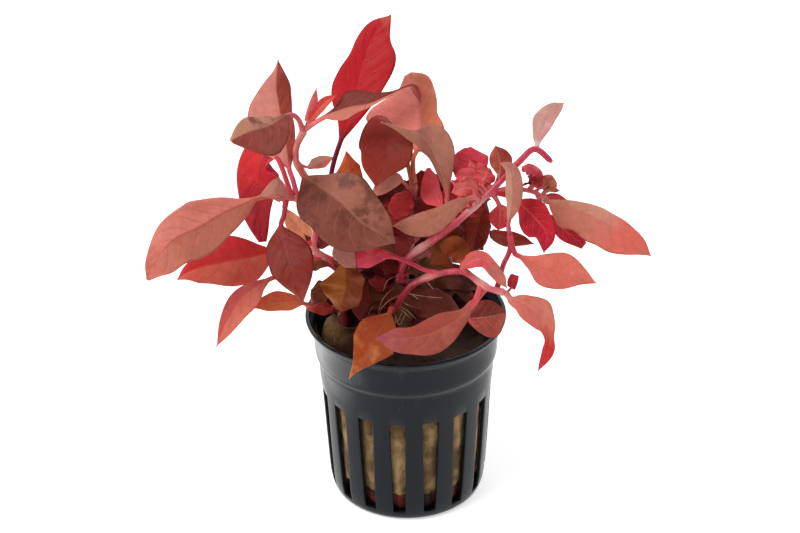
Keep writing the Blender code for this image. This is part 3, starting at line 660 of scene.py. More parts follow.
blade, given, result = new_group(
    "leaf_blade",
    [("Left half", "colour", (0.5, 0.2, 0.2, 1.0)), ("Right half", "colour", (0.5, 0.2, 0.2, 1.0)),
     ("Tip", "colour", (0.5, 0.2, 0.2, 1.0)), ("Tip start", "number", 0.6), ("Tip share", "number", 0.0),
     ("Patch", "colour", (0.5, 0.2, 0.2, 1.0)), ("Patch share", "number", 0.3),
     ("Vein", "colour", (0.6, 0.3, 0.3, 1.0)), ("Vein share", "number", 0.4),
     ("Underside", "colour", (0.5, 0.15, 0.15, 1.0)), ("Stalk", "colour", (0.6, 0.1, 0.12, 1.0)),
     ("Stalk end", "number", 0.2), ("Vein count", "number", 9.0)],
    [("Colour", "colour"), ("Roughness", "number"), ("Height", "number")])
place = object_place(blade)
map_node = blade.nodes.new("ShaderNodeUVMap")
map_node.uv_map = "leaf"
parts = blade.nodes.new("ShaderNodeSeparateXYZ")
blade.links.new(map_node.outputs["UV"], parts.inputs["Vector"])
across = minus(blade, times(blade, parts.outputs["X"], 2.0), 1.0)
outward = maths(blade, "ABSOLUTE", across)
along = parts.outputs["Y"]
cloud = grain(blade, place, 150.0, 4.0, 0.6)
mottle = grain(blade, place, 620.0, 4.0, 0.6)
fine = grain(blade, place, 2200.0, 2.0, 0.6)
net = blade.nodes.new("ShaderNodeTexVoronoi")
net.feature = "DISTANCE_TO_EDGE"
net.inputs["Scale"].default_value = 850.0
blade.links.new(place, net.inputs["Vector"])
# The two half colours are the leaf's own two tones and also painted light and shade: on a folded leaf the
# half that faces the lamps is painted lighter and the half turned away darker.
half_side = ramp(blade, plus(blade, across, times(blade, cloud, 0.1)), -0.02, 0.14)
tone = blend(blade, half_side, given.outputs["Left half"], given.outputs["Right half"])
tip_reach = plus(blade, along, times(blade, minus(blade, cloud, 0.5), 0.5))
tip_mask = times(blade, given.outputs["Tip share"],
                 ramp(blade, tip_reach, given.outputs["Tip start"],
                      plus(blade, given.outputs["Tip start"], 0.3)))
tone = blend(blade, tip_mask, tone, given.outputs["Tip"])
patch_mask = times(blade, given.outputs["Patch share"], ramp(blade, cloud, 0.5, 0.64))
tone = blend(blade, patch_mask, tone, given.outputs["Patch"])
slant = minus(blade, along, times(blade, maths(blade, "POWER", outward, VEIN_CURVE), VEIN_SLANT))
wander = times(blade, minus(blade, mottle, 0.5), 0.03)
count = times(blade, plus(blade, slant, wander), given.outputs["Vein count"])
count = plus(blade, count, times(blade, maths(blade, "GREATER_THAN", across, 0.0), 0.5))
phase = maths(blade, "ABSOLUTE", minus(blade, maths(blade, "FRACT", count), 0.5))
side_vein = times(blade, ramp(blade, phase, 0.40, 0.5), ramp(blade, outward, 0.98, 0.55, 0.1, 1.0))
midrib_width = ramp(blade, along, 0.1, 1.0, 0.10, 0.03)
midrib = ramp(blade, maths(blade, "DIVIDE", outward, midrib_width), 1.0, 0.3)
threads = ramp(blade, net.outputs["Distance"], 0.09, 0.0)
vein_mask = maths(blade, "MAXIMUM", midrib, times(blade, side_vein, 0.55))
vein_mask = maths(blade, "MAXIMUM", vein_mask, times(blade, threads, 0.16))
tone = blend(blade, times(blade, vein_mask, given.outputs["Vein share"]), tone, given.outputs["Vein"])
under = blade.nodes.new("ShaderNodeAttribute")
under.attribute_name = "underside"
tone = blend(blade, under.outputs["Fac"], tone, given.outputs["Underside"])
stalk_mask = ramp(blade, along, plus(blade, given.outputs["Stalk end"], 0.08),
                  minus(blade, given.outputs["Stalk end"], 0.06))
tone = blend(blade, stalk_mask, tone, given.outputs["Stalk"])
light = plus(blade, ramp(blade, mottle, 0.25, 0.75, 0.9, 1.08),
             times(blade, minus(blade, fine, 0.5), 0.12))
shade = blade.nodes.new("ShaderNodeCombineColor")
for channel in range(3):
    blade.links.new(light, shade.inputs[channel])
blade.links.new(blend(blade, 1.0, tone, shade.outputs["Color"], "MULTIPLY"), result.inputs["Colour"])
blade.links.new(ramp(blade, mottle, 0.3, 0.7, 0.44, 0.58), result.inputs["Roughness"])
relief = minus(blade, times(blade, mottle, 0.5),
               plus(blade, times(blade, side_vein, 0.8), times(blade, threads, 0.3)))
blade.links.new(plus(blade, relief, times(blade, fine, 0.15)), result.inputs["Height"])


def make_leaf(name, stem, slot, foot, line, reach, left, right=None, tip=None, tip_start=0.55, patch=None,
              patch_share=0.7, vein=(214, 140, 124), vein_share=0.35, under=(196, 84, 84),
              stalk=(200, 92, 92), stalk_points=0, face=TOWARDS_FRONT, tip_face=None, fold=10.0,
              petiole=None, wave=0.3, waves=2.3, ragged=0.05, on_photo=True, node=None):
    """One leaf. It stands at foot, a share of its stem's length, and follows a line of places.

    Reach is how far its blade goes to the left and right of its midrib in mm, as seen, at even
    steps; the first places of the line can belong to its stalk. Colours are as the eye sees them.
    """
    places = [seen(*place) if on_photo else Vector(place) for place in line]
    full = smooth_route([stem["route"][round(foot * STEM_STEPS)]] + places, LEAF_STEPS)
    start = 1
    free = stem["radius"] + STEM_CLEARANCE
    while start < LEAF_STEPS - 1 and nearest_distance(full[start], stem["route"]) < free:
        start += 1
    if petiole is None:
        blade_start = min(range(LEAF_STEPS), key=lambda index: (full[index] - places[stalk_points]).length)
        petiole = max(0.0, (blade_start - start) / (LEAF_STEPS - start))
    route = even_places(full[:start + 1], FOOT_ROWS)[:-1] + even_places(full[start:], LEAF_ROWS)
    last = len(route) - 1
    first_face = Vector(face)
    last_face = Vector(tip_face) if tip_face else first_face
    rise = math.radians(fold)
    seed = (sum(ord(letter) for letter in name) % 97) * 0.37
    widest = max(sum(pair) for pair in reach)
    half_stalk = min(PETIOLE_WIDTH, PETIOLE_SHARE * widest) / 2
    lefts, rights = ([half / math.cos(rise) for half in halves] for halves in zip(*reach))
    rows = []
    for row, place in enumerate(route):
        share = max(0.0, (row - FOOT_ROWS) / LEAF_ROWS)
        ahead = (route[min(row + 1, last)] - route[max(row - 1, 0)]).normalized()
        side = ahead.cross(first_face.lerp(last_face, share)).normalized()
        upward = side.cross(ahead)
        body = max(0.0, (share - petiole) / (1.0 - petiole))
        halves = (half_stalk, half_stalk)
        if share > petiole:
            stub = half_stalk * (1.0 - body)
            halves = (max(smooth_value(lefts, body), stub), max(smooth_value(rights, body), stub))
        flat = min(1.0, max(0.0, (share - petiole) * PETIOLE_FADE))
        flat = flat * flat * (3.0 - 2.0 * flat)
        sheath = 1.0 + SHEATH_SWELLING * math.exp(-(row / SHEATH_ROWS) ** 2)
        rows.append((place, side, upward, halves, flat, share, sheath))
    leaf = bpy.data.objects.new(name, blank.data.copy())
    bpy.context.collection.objects.link(leaf)
    for corner, (row, across, under_side) in zip(leaf.data.vertices, blank_places):
        place, side, upward, halves, flat, share, sheath = rows[row]
        half = halves[0] if across < 0 else halves[1]
        body = max(0.0, (share - petiole) / (1.0 - petiole))
        torn = 1.0 + ragged * noise.noise(Vector((share * 7.0, seed, across * 0.6)))
        out = across * half * torn * math.cos(rise)
        valley = math.sqrt(across * across + VALLEY_ROUNDING) - VALLEY_DEPTH
        lift = (valley * math.sin(rise) + LEAF_CUP * across * across) * half * torn
        phase = 0.0 if across > 0 else LEFT_WAVE_LAG
        roll = math.sin(math.tau * waves * body + seed + phase) * min(1.0, body * 3)
        lift += wave * abs(across) ** WAVE_POWER * roll
        order = (share - VEIN_SLANT * abs(across) ** VEIN_CURVE) * SIDE_VEINS + (0.5 if across > 0 else 0.0)
        ripple = math.cos(math.tau * order) * (1.0 - abs(across)) ** 0.5 * min(1.0, abs(across) * 4.0)
        lift -= VEIN_RELIEF * ripple * min(1.0, half / 3.0)
        rib = math.exp(-(across * half / MIDRIB_HALF_WIDTH) ** 2) * (1.0 - 0.7 * share)
        thickness = BLADE_THICKNESS / 2 * math.sqrt(max(0.0, 1.0 - across ** 4))
        upper_face = thickness - MIDRIB_FURROW * rib
        lower_face = thickness + MIDRIB_KEEL * rib
        flat_point = side * out + upward * (lift + (upper_face if under_side > 0 else -lower_face))
        if under_side == 0.0:
            flat_point = side * out + upward * lift
        round_turn = across * math.pi / 2
        tall = min(STALK_HEIGHT, half_stalk * 0.95)
        round_point = (side * math.sin(round_turn) * half
                       + upward * math.cos(round_turn) * tall * under_side) * sheath
        corner.co = (place + round_point.lerp(flat_point, flat)) * MM
    # Left and right half colours partly hold painted light and painted shade of the fold, besides the leaf's
    # own tones.
    values = {
        "Left half": tint(*left), "Right half": tint(*(right or left)), "Patch": tint(*(patch or left)),
        "Patch share": patch_share, "Tip": tint(*(tip or left)), "Tip start": tip_start,
        "Tip share": 1.0 if tip else 0.0, "Vein": tint(*vein), "Vein share": vein_share,
        "Vein count": SIDE_VEINS, "Underside": tint(*under), "Stalk": tint(*stalk), "Stalk end": petiole,
    }
    material = finish_from(blade, name + "_skin", values, bump=0.3, bump_depth=0.00025,
                           Specular_IOR_Level=0.2)
    leaf.data.materials.clear()
    leaf.data.materials.append(material)
    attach(leaf, "root")
    if node:
        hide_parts(node)


def grow(stem, leaves):
    for name, plan in leaves.items():
        make_leaf(name, stem, **plan)


# Leaves of the left tall stem
# From its top bud down: a tall crimson leaf lit from behind, mauve leaves that have turned brownish
# above water, and a curled orange one.
left_tall_leaves = {
    # Its bright crimson is the leaf's own red and painted glow of the light that shines through it.
    "tall_crimson_blade": dict(
        slot="crimson_leaf", foot=0.67, node="tall_red_leaf", stalk_points=1, face=(-0.2, -0.9, 0.4),
        wave=0.25,
        line=[(332, 170, 4), (341, 140, 8), (354, 105, 12), (362, 70, 16), (373, 37, 20), (391, 15, 22)],
        reach=[(0.5, 0.5), (2.5, 2), (5.5, 3.5), (6.5, 5.5), (5.5, 7), (4, 7.5), (3.5, 6.5), (2.5, 3.5),
               (0, 0)],
        left=(184, 20, 32), right=(180, 24, 29), patch=(166, 18, 34), tip=(206, 160, 118), tip_start=0.88,
        vein=(206, 60, 60), vein_share=0.3, under=(170, 30, 50), stalk=(120, 22, 56)),
    "folded_top_blade": dict(
        slot="mauve_leaf", foot=1.0, node="folded_top_leaf", face=(0.0, -0.5, 0.85), fold=15.0, wave=0.1,
        line=[(325, 117, -0.5), (347, 108, -1.5), (369, 104, -2.3), (387, 96, -3), (405, 88, -4),
              (413, 87, -4.6), (418, 95, -5.6), (420.5, 103, -6.5)],
        reach=[(0.5, 0.5), (1.5, 2.5), (4, 3.5), (4, 2), (3, 1), (1.5, 0.5), (0.5, 0.5), (0.5, 0.5), (1, 1),
               (0, 0)],
        left=(118, 36, 26), right=(200, 116, 98), patch=(134, 56, 42), patch_share=0.55, tip=(150, 20, 34),
        tip_start=0.80, vein=(206, 120, 104), under=(186, 60, 60), stalk=(222, 116, 112)),
    "round_mauve_blade": dict(
        slot="mauve_leaf", foot=0.99, node="round_mauve_leaf", stalk_points=1, face=(-0.2, -0.8, 0.6),
        fold=8.0,
        line=[(298, 119, -1), (289, 115, -4), (269, 125, -10), (248, 132, -14.5), (231, 141, -17.5)],
        reach=[(0.5, 0.5), (2.5, 1), (5.5, 2), (7.5, 3), (7.5, 3.5), (5, 2.5), (1, 0.5)],
        left=(138, 58, 46), right=(186, 128, 106), patch=(110, 38, 27), patch_share=0.8,
        vein=(196, 128, 108), under=(184, 90, 80), stalk=(206, 96, 104)),
    "top_bud_blade": dict(
        slot="pink_leaf", foot=1.0, node="top_bud", petiole=0.0, wave=0.1,
        line=[(308.5, 118, 1), (312.5, 108, 2), (316.5, 88, 3.5)],
        reach=[(0.7, 0.7), (1.1, 1.1), (1.1, 1.1), (0.7, 0.7), (0, 0)],
        left=(216, 104, 96), right=(206, 74, 78), under=(196, 60, 64)),
    "curved_bud_blade": dict(
        slot="pink_leaf", foot=1.0, petiole=0.0, wave=0.1,
        line=[(311, 119, 0.5), (318, 110, 0.5), (325, 102, 0), (337, 94.5, -0.5)],
        reach=[(0.7, 0.7), (1.1, 1), (1.2, 1.2), (1, 1), (0, 0)],
        left=(196, 46, 50), right=(206, 84, 66), under=(180, 40, 46), stalk=(224, 140, 104)),
    "big_mauve_blade": dict(
        slot="mauve_leaf", foot=0.86, node="big_mauve_leaf", face=(0.1, -0.75, 0.65), wave=0.45,
        line=[(304, 177, -4), (317, 184, -8), (341, 201, -13.5), (363, 223, -17), (396, 243, -18.5)],
        reach=[(0.5, 0.5), (2.5, 6.5), (5.5, 9), (7.5, 9.5), (7, 10), (6.5, 8), (4.5, 4), (0, 0)],
        left=(156, 94, 74), right=(128, 66, 52), patch=(98, 46, 35), patch_share=0.8, tip=(134, 74, 60),
        tip_start=0.7, vein=(186, 122, 104), vein_share=0.3, under=(176, 96, 86), stalk=(196, 92, 80)),
    "tucked_mauve_blade": dict(
        slot="mauve_leaf", foot=0.70,
        line=[(338, 243, -6), (346, 256, -9.5), (356, 268, -11.5)],
        reach=[(1, 1), (2, 2.5), (2.5, 2.5), (1.5, 2), (0, 0)],
        left=(170, 112, 98), patch=(184, 112, 104), under=(170, 96, 90)),
    "small_mauve_blade": dict(
        slot="mauve_leaf", foot=0.88, node="small_mauve_leaf", petiole=0.08, wave=0.15,
        line=[(307, 167, -2), (316, 164, -3.5), (325, 160, -5), (333, 157, -6)],
        reach=[(0.5, 0.5), (1.5, 1), (1.5, 1.5), (1, 1.5), (0, 0)],
        left=(180, 126, 110), right=(186, 90, 80), under=(186, 90, 84)),
    "hooked_orange_blade": dict(
        slot="orange_leaf", foot=0.66, node="hooked_leaf", wave=0.5, ragged=0.22,
        line=[(345, 203, 5), (349, 180, 3), (349, 168, 1.5), (346, 152, -1)],
        reach=[(0.5, 0.5), (3, 2.5), (4, 3.5), (4, 3), (1.5, 2), (0, 0)],
        left=(222, 108, 54), right=(194, 74, 34), patch=(204, 82, 40), under=(186, 76, 48),
        stalk=(160, 40, 40)),
    "peach_blade": dict(
        slot="pale_leaf", foot=0.44, node="peach_leaf", stalk_points=1,
        line=[(337, 264, 3), (318, 256, 3.5), (300, 230, 5), (282, 206, 5)],
        reach=[(1, 1), (3, 2.5), (3, 2.5), (2, 1.5), (0, 0)],
        left=(250, 176, 132), patch=(242, 152, 110), under=(220, 134, 100), stalk=(200, 50, 56)),
}
grow(left_tall, left_tall_leaves)


# Leaves of the left low stem
# The long salmon leaves that reach out to the left, a red hanging leaf, and the golden and orange
# leaves round the rim.
left_low_leaves = {
    "upright_pink_blade": dict(
        # Painted light and shade: its pale left half faces the light and its brown right half is turned
        # away, partly painted shade and partly the leaf's own brown.
        slot="pink_leaf", foot=0.93, node="upright_pink_leaf", stalk_points=1, face=(0.1, -0.85, 0.5),
        fold=-25.0, wave=0.2,
        line=[(293, 180, -6), (289, 168, -3.5), (285, 141, 1.5), (280, 114, 5), (276, 87, 8), (278, 60, 9)],
        reach=[(0.5, 0.5), (3.5, 1.5), (7, 2.5), (8.5, 3), (8, 3), (6.5, 3.5), (3.5, 3.5), (1, 2), (0, 0)],
        left=(198, 122, 110), right=(156, 62, 48), patch=(192, 108, 98), patch_share=0.35,
        tip=(182, 84, 78), tip_start=0.82, under=(178, 96, 86), vein=(214, 132, 118), stalk=(214, 84, 104)),
    "hanging_crimson_blade": dict(
        slot="crimson_leaf", foot=0.95, node="red_hanging_leaf", stalk_points=1, face=(-0.2, -0.8, 0.6),
        line=[(282, 168, -4), (275, 156, 0), (266, 155, 4), (260, 170, 4.5), (259, 195, 1.5),
              (262.5, 242, -5)],
        reach=[(1.5, 2), (4, 5), (5, 5.5), (5, 5.5), (4, 5), (3, 4.5), (2, 3), (1, 1)],
        left=(184, 24, 40), right=(204, 44, 46), patch=(174, 20, 40), tip=(140, 12, 24), tip_start=0.5,
        vein=(150, 16, 28), under=(180, 30, 44), stalk=(196, 60, 70)),
    "long_left_blade": dict(
        slot="salmon_leaf", foot=1.0, node="long_left_leaf", stalk_points=1, face=(-0.1, -0.8, 0.6),
        wave=0.35,
        line=[(270, 196, -10), (256, 199, -12), (227, 211, -17.5), (200, 227, -23), (173, 240, -28),
              (154, 263, -31.5), (147, 280, -33)],
        reach=[(0.5, 0.5), (3, 1.5), (4.5, 3.5), (5.5, 5.5), (6.5, 6.5), (7, 6), (7, 5), (6, 3.5), (4.5, 2),
               (0.5, 0)],
        left=(178, 102, 82), right=(216, 124, 108), patch=(198, 104, 86), patch_share=0.6,
        tip=(206, 114, 100), tip_start=0.75, vein=(176, 50, 48), vein_share=0.5, under=(200, 96, 86),
        stalk=(190, 104, 84)),
    "small_pale_blade": dict(
        slot="pale_leaf", foot=0.96, node="small_pale_leaf", petiole=0.04,
        line=[(291, 198, -9), (278, 194, -13), (270, 193, -14.5), (258.5, 196, -16)],
        reach=[(0.5, 1), (1, 3), (1, 4), (1, 1.5), (0, 0)],
        left=(206, 100, 104), right=(196, 118, 104), patch=(196, 134, 114), under=(200, 120, 110)),
    "left_drooping_blade": dict(
        slot="dark_red_leaf", foot=0.98, node="left_drooping_leaf", stalk_points=1, face=(-0.1, -0.85, 0.5),
        wave=0.35,
        line=[(284, 215, -10.5), (281, 226, -12.5), (285, 248, -17.5), (293, 272, -22), (303, 304, -25)],
        reach=[(0.5, 0.5), (3, 3), (5, 4.5), (6, 5), (5.5, 5), (4, 3.5), (2, 1.5), (0, 0)],
        left=(126, 36, 27), right=(134, 44, 33), patch=(114, 28, 21), patch_share=0.8, tip=(142, 58, 46),
        tip_start=0.7, vein=(150, 64, 52), vein_share=0.25, under=(150, 50, 46), stalk=(170, 56, 64)),
    "left_red_blade": dict(
        slot="crimson_leaf", foot=0.72, node="left_red_leaf", stalk_points=1, wave=0.35,
        line=[(290, 251, -5), (276, 252, -6), (250, 257, -10), (219, 263, -14), (190, 271, -17.5),
              (177, 280, -19)],
        reach=[(0.5, 0.5), (3.5, 2.5), (6, 4.5), (6.5, 6), (6, 5.5), (4.5, 4), (3, 2), (0, 0)],
        left=(204, 96, 78), right=(196, 46, 48), patch=(200, 74, 64), patch_share=0.5, vein=(186, 48, 46),
        vein_share=0.4, under=(190, 70, 62), stalk=(190, 56, 62)),
    "left_salmon_blade": dict(
        slot="salmon_leaf", foot=0.64, node="left_salmon_leaf", stalk_points=1, face=(-0.2, -0.7, 0.65),
        line=[(290, 272, -10), (268, 280, -17), (243, 296, -24.5), (227, 321, -30), (216, 347, -32.8)],
        reach=[(0.5, 0.5), (2, 1.5), (4, 2), (4.5, 2.5), (3.5, 2), (2, 1), (0, 0)],
        left=(210, 108, 90), right=(204, 84, 80), patch=(206, 100, 84), vein=(180, 60, 56), vein_share=0.4,
        under=(196, 84, 76), stalk=(196, 76, 70)),
    "left_curled_blade": dict(
        slot="orange_leaf", foot=0.44, node="left_curled_leaf", stalk_points=1,
        line=[(315, 304, -9), (302, 303, -13), (289, 302, -15.5), (263, 305, -19.5), (250, 308, -21)],
        reach=[(0.5, 0.5), (2, 2), (2, 3), (1.5, 2), (0, 0)],
        left=(214, 106, 62), right=(204, 88, 58), patch=(206, 96, 64), under=(170, 60, 44)),
    "golden_blade": dict(
        slot="olive_leaf", foot=0.57, node="golden_leaf", wave=0.7, waves=3.0, ragged=0.3,
        line=[(345, 263, -6.5), (347, 282, -9.5), (346, 291, -10.5), (340, 310, -12)],
        reach=[(1.5, 1.5), (3, 3.5), (4, 6), (4, 6.5), (4, 4.5), (1, 1)],
        left=(132, 62, 26), right=(164, 94, 36), patch=(140, 70, 30), patch_share=0.7, tip=(150, 66, 40),
        tip_start=0.8, vein=(110, 50, 22), under=(140, 66, 34), stalk=(96, 34, 16)),
    "rim_red_blade": dict(
        slot="crimson_leaf", foot=0.37, node="rim_red_leaf",
        line=[(332, 308, -2), (319, 306, -4), (303, 304, -6)],
        reach=[(0.7, 0.7), (2, 1.5), (2, 2), (1.5, 1), (0, 0)],
        left=(206, 74, 66), right=(180, 54, 48), under=(176, 50, 46)),
}
grow(left_low, left_low_leaves)


# Crown over the middle of the pot
# A broad pale leaf held up at the back, an ovate brick red one that arches forward, and small dark
# leaves between them.
centre_leaves = {
    # Painted light and shade: its pink left half faces the light and is painted lighter still to make up for
    # the shade of the leaves over it, and its orange right half holds painted shade.
    "pale_centre_blade": dict(
        slot="pale_leaf", foot=1.0, node="pale_centre_leaf", stalk_points=1, face=(-0.15, -0.85, 0.5),
        fold=15.0,
        line=[(413, 160, 10), (417, 150, 13), (420, 136, 16), (420, 111, 21), (416, 88, 26),
              (408, 74, 28.5)],
        reach=[(1, 1.5), (7, 6), (11.5, 6), (13.5, 4.5), (12, 4.5), (9, 4.5), (5.5, 4), (1, 1)],
        left=(250, 150, 138), right=(210, 118, 86), patch=(242, 140, 126), patch_share=0.5,
        tip=(218, 138, 120), tip_start=0.75, vein=(206, 104, 86), vein_share=0.2, under=(206, 100, 88),
        stalk=(206, 110, 80)),
    "ovate_brick_blade": dict(
        slot="dark_red_leaf", foot=0.97, node="ovate_red_leaf", stalk_points=1, face=(0.0, 0.4, 0.9),
        tip_face=(-0.1, -0.9, 0.4), fold=8.0,
        line=[(404, 150, 8.5), (398, 134, 7.5), (390, 124, 5.5), (386, 131, 3.5), (386, 144, 1),
              (385, 157, -1), (376, 187, -4)],
        reach=[(1, 1), (3.5, 3.5), (5.5, 5.5), (6.5, 6.5), (6, 6), (2.5, 4.5), (0, 0)],
        left=(140, 46, 34), right=(146, 46, 33), patch=(150, 46, 34), patch_share=0.7, vein=(120, 36, 28),
        vein_share=0.2, under=(140, 40, 36), stalk=(160, 84, 66)),
    "inner_hanging_blade": dict(
        slot="crimson_leaf", foot=0.96, node="inner_hanging_leaf", petiole=0.2,
        line=[(403, 205, 4), (392, 227, 0)],
        reach=lance(5.0),
        left=(150, 34, 34), under=(130, 26, 28)),
    # Painted shade: its near-black red is the shade behind the centre node, over the leaf's own dark red.
    "inner_dark_blade": dict(
        slot="dark_red_leaf", foot=0.70, node="inner_dark_leaf", petiole=0.2,
        line=[(418, 237, 11), (418, 216, 13), (411, 190, 15)],
        reach=lance(13.0),
        left=(100, 18, 14), patch=(112, 26, 20), under=(84, 14, 12)),
    "inner_curled_blade": dict(
        slot="pale_leaf", foot=0.94, node="inner_curled_leaf", petiole=0.2,
        line=[(400, 180, 4.5), (386, 184, 1), (372, 197, -2.5)],
        reach=lance(4.0),
        left=(196, 124, 106), under=(186, 108, 94)),
}
grow(centre, centre_leaves)
right_crown_leaves = {
    "inner_pink_blade": dict(
        # Painted light: its colours are painted lighter than the leaf to make up for the shade of the crown
        # over it.
        slot="pink_leaf", foot=0.59, node="inner_pink_leaf",
        line=[(441, 207, -1), (432, 189, 4.5), (428, 168, 8)],
        reach=[(0.5, 0.5), (3, 1.5), (3, 2), (2, 2), (0.5, 0.5)],
        left=(236, 84, 96), right=(236, 94, 106), patch=(222, 66, 76), under=(190, 50, 60)),
    "arched_blade": dict(
        slot="mauve_leaf", foot=0.635, node="arched_leaf", stalk_points=1, face=(0.2, -0.7, 0.7), fold=12.0,
        wave=0.2,
        line=[(447, 203, 0), (447, 192, 1.5), (438, 165, 3.5), (431, 148, 5), (422, 137, 4.5),
              (408, 131, 0.5), (381, 122, -2.5)],
        reach=[(0.5, 0.5), (1, 3), (1.5, 5), (3, 5.5), (3.5, 1.5), (2.5, 0.5), (1, 0.5), (0, 0)],
        left=(176, 108, 88), right=(186, 122, 102), patch=(168, 94, 78), patch_share=0.5,
        vein=(206, 146, 124), vein_share=0.4, under=(180, 100, 86), stalk=(200, 96, 90)),
}
grow(right, right_crown_leaves)


# Leaves of the right stem
# Mauve leaves over the middle, a cluster of young pink ones round its node, and one pale leaf at
# its tip.
right_node_leaves = {
    "centre_mauve_blade": dict(
        slot="mauve_leaf", foot=0.72, node="centre_mauve_leaf", stalk_points=1,
        line=[(476, 198, -7), (470, 198, -8.5), (456, 205, -10), (426, 222, -11.5), (393, 226, -10)],
        reach=[(0.5, 0.5), (2, 1.5), (3, 2), (3.5, 2.5), (2.5, 2), (0, 0)],
        left=(160, 96, 76), right=(168, 100, 82), patch=(144, 72, 56), patch_share=0.6,
        vein=(186, 120, 100), under=(190, 92, 84), stalk=(206, 112, 106)),
    "dark_mauve_blade": dict(
        slot="dark_red_leaf", foot=0.735, node="dark_mauve_leaf",
        line=[(485, 204, -2.5), (479, 224, 1), (474, 245, 3), (472, 254, 3.5)],
        reach=[(0.5, 0.5), (2, 3), (3, 4), (3, 3.5), (2.5, 2), (0, 0)],
        left=(114, 28, 18), right=(134, 42, 27), patch=(104, 22, 13), vein=(120, 40, 30), vein_share=0.2,
        under=(96, 28, 22), stalk=(104, 30, 26)),
    # The pale veins of the two cluster leaves are partly painted highlights on the young blades.
    "low_cluster_blade": dict(
        slot="pink_leaf", foot=0.735, node="cluster_leaf_low", petiole=0.08,
        line=[(470, 188, -6), (452, 192, -9)],
        reach=lance(4.5),
        left=(212, 92, 90), patch=(200, 52, 62), vein=(236, 176, 160), under=(200, 60, 66)),
    "high_cluster_blade": dict(
        slot="pink_leaf", foot=0.755, node="cluster_leaf_high", petiole=0.08,
        line=[(472, 178, -1), (455, 176, -1)],
        reach=lance(4.5),
        left=(206, 72, 78), patch=(190, 40, 52), vein=(232, 170, 156), under=(196, 56, 64)),
}
grow(right, right_node_leaves)
crumpled_lines = [
    (0.72, [(478, 190, -3), (468, 197, -4), (457, 201, -5)]),
    (0.75, [(480, 186, 0), (472, 177, 2), (461, 171, 3)]),
    (0.73, [(484, 192, 1), (478, 199, 3), (470, 203, 4)]),
    (0.76, [(482, 184, -2), (486, 175, -1), (489, 168, 0)]),
    (0.74, [(478, 188, -4), (466, 187, -6), (452, 181, -7)]),
    (0.77, [(484, 182, 2), (478, 172, 4), (470, 160, 6)]),
]
# Their pale patches and pale veins are partly painted highlights on the crumpled young blades.
for number, (share, line) in enumerate(crumpled_lines):
    make_leaf("crumpled_young_leaf_%d" % number, right, "pink_leaf", share, line, lance(5.0),
              left=(218, 84, 88), right=(200, 54, 64), patch=(236, 144, 134), patch_share=0.6,
              vein=(236, 180, 166), under=(184, 50, 58), petiole=0.05, wave=0.8, waves=3.4, ragged=0.2)
right_leaves = {
    "round_pink_blade": dict(
        slot="pink_leaf", foot=0.775, node="round_pink_leaf",
        line=[(477, 184, 1), (474, 178, 3), (470, 168, 6), (467, 148, 12)],
        reach=[(0.7, 0.7), (3.5, 3), (4.5, 4.5), (4, 4.5), (0.7, 1)],
        left=(196, 44, 60), right=(200, 50, 74), patch=(184, 40, 54), vein=(206, 80, 88), vein_share=0.2,
        under=(180, 44, 56)),
    "brown_right_blade": dict(
        slot="mauve_leaf", foot=0.79, node="brown_right_leaf", petiole=0.0,
        line=[(499, 179, -1), (500, 168, 0.5), (499, 157, 2), (495.5, 145.5, 3.5)],
        reach=[(0.7, 1), (2, 2.5), (2.5, 3), (2, 2), (0, 0)],
        left=(170, 76, 62), right=(150, 52, 36), patch=(140, 48, 34), under=(150, 56, 46)),
    # Its grey-white patches are partly painted highlights and partly the leaf's own pale parts.
    "pale_tip_blade": dict(
        slot="pale_leaf", foot=0.935, node="pale_tip_leaf", wave=0.35,
        line=[(537, 146, 3), (539, 136, 5), (549, 115, 9), (564, 102, 12.5)],
        reach=[(0.7, 0.7), (2, 1.5), (3, 2), (2.5, 2), (1.5, 1.5), (0, 0)],
        left=(204, 152, 138), right=(206, 144, 136), patch=(216, 178, 170), patch_share=0.5,
        tip=(196, 136, 124), tip_start=0.75, vein=(190, 108, 100), under=(206, 146, 136),
        stalk=(226, 204, 200)),
    "right_mauve_blade": dict(
        slot="mauve_leaf", foot=0.745, node="right_mauve_leaf", stalk_points=1,
        line=[(487, 222, 4), (490, 232, 6), (510, 239, 6), (534, 244, 4)],
        reach=[(1, 1), (1.5, 2), (2, 2), (1.5, 1), (0, 0)],
        left=(166, 54, 46), right=(162, 72, 58), patch=(158, 66, 52), under=(160, 66, 58),
        stalk=(110, 36, 28)),
}
grow(right, right_leaves)


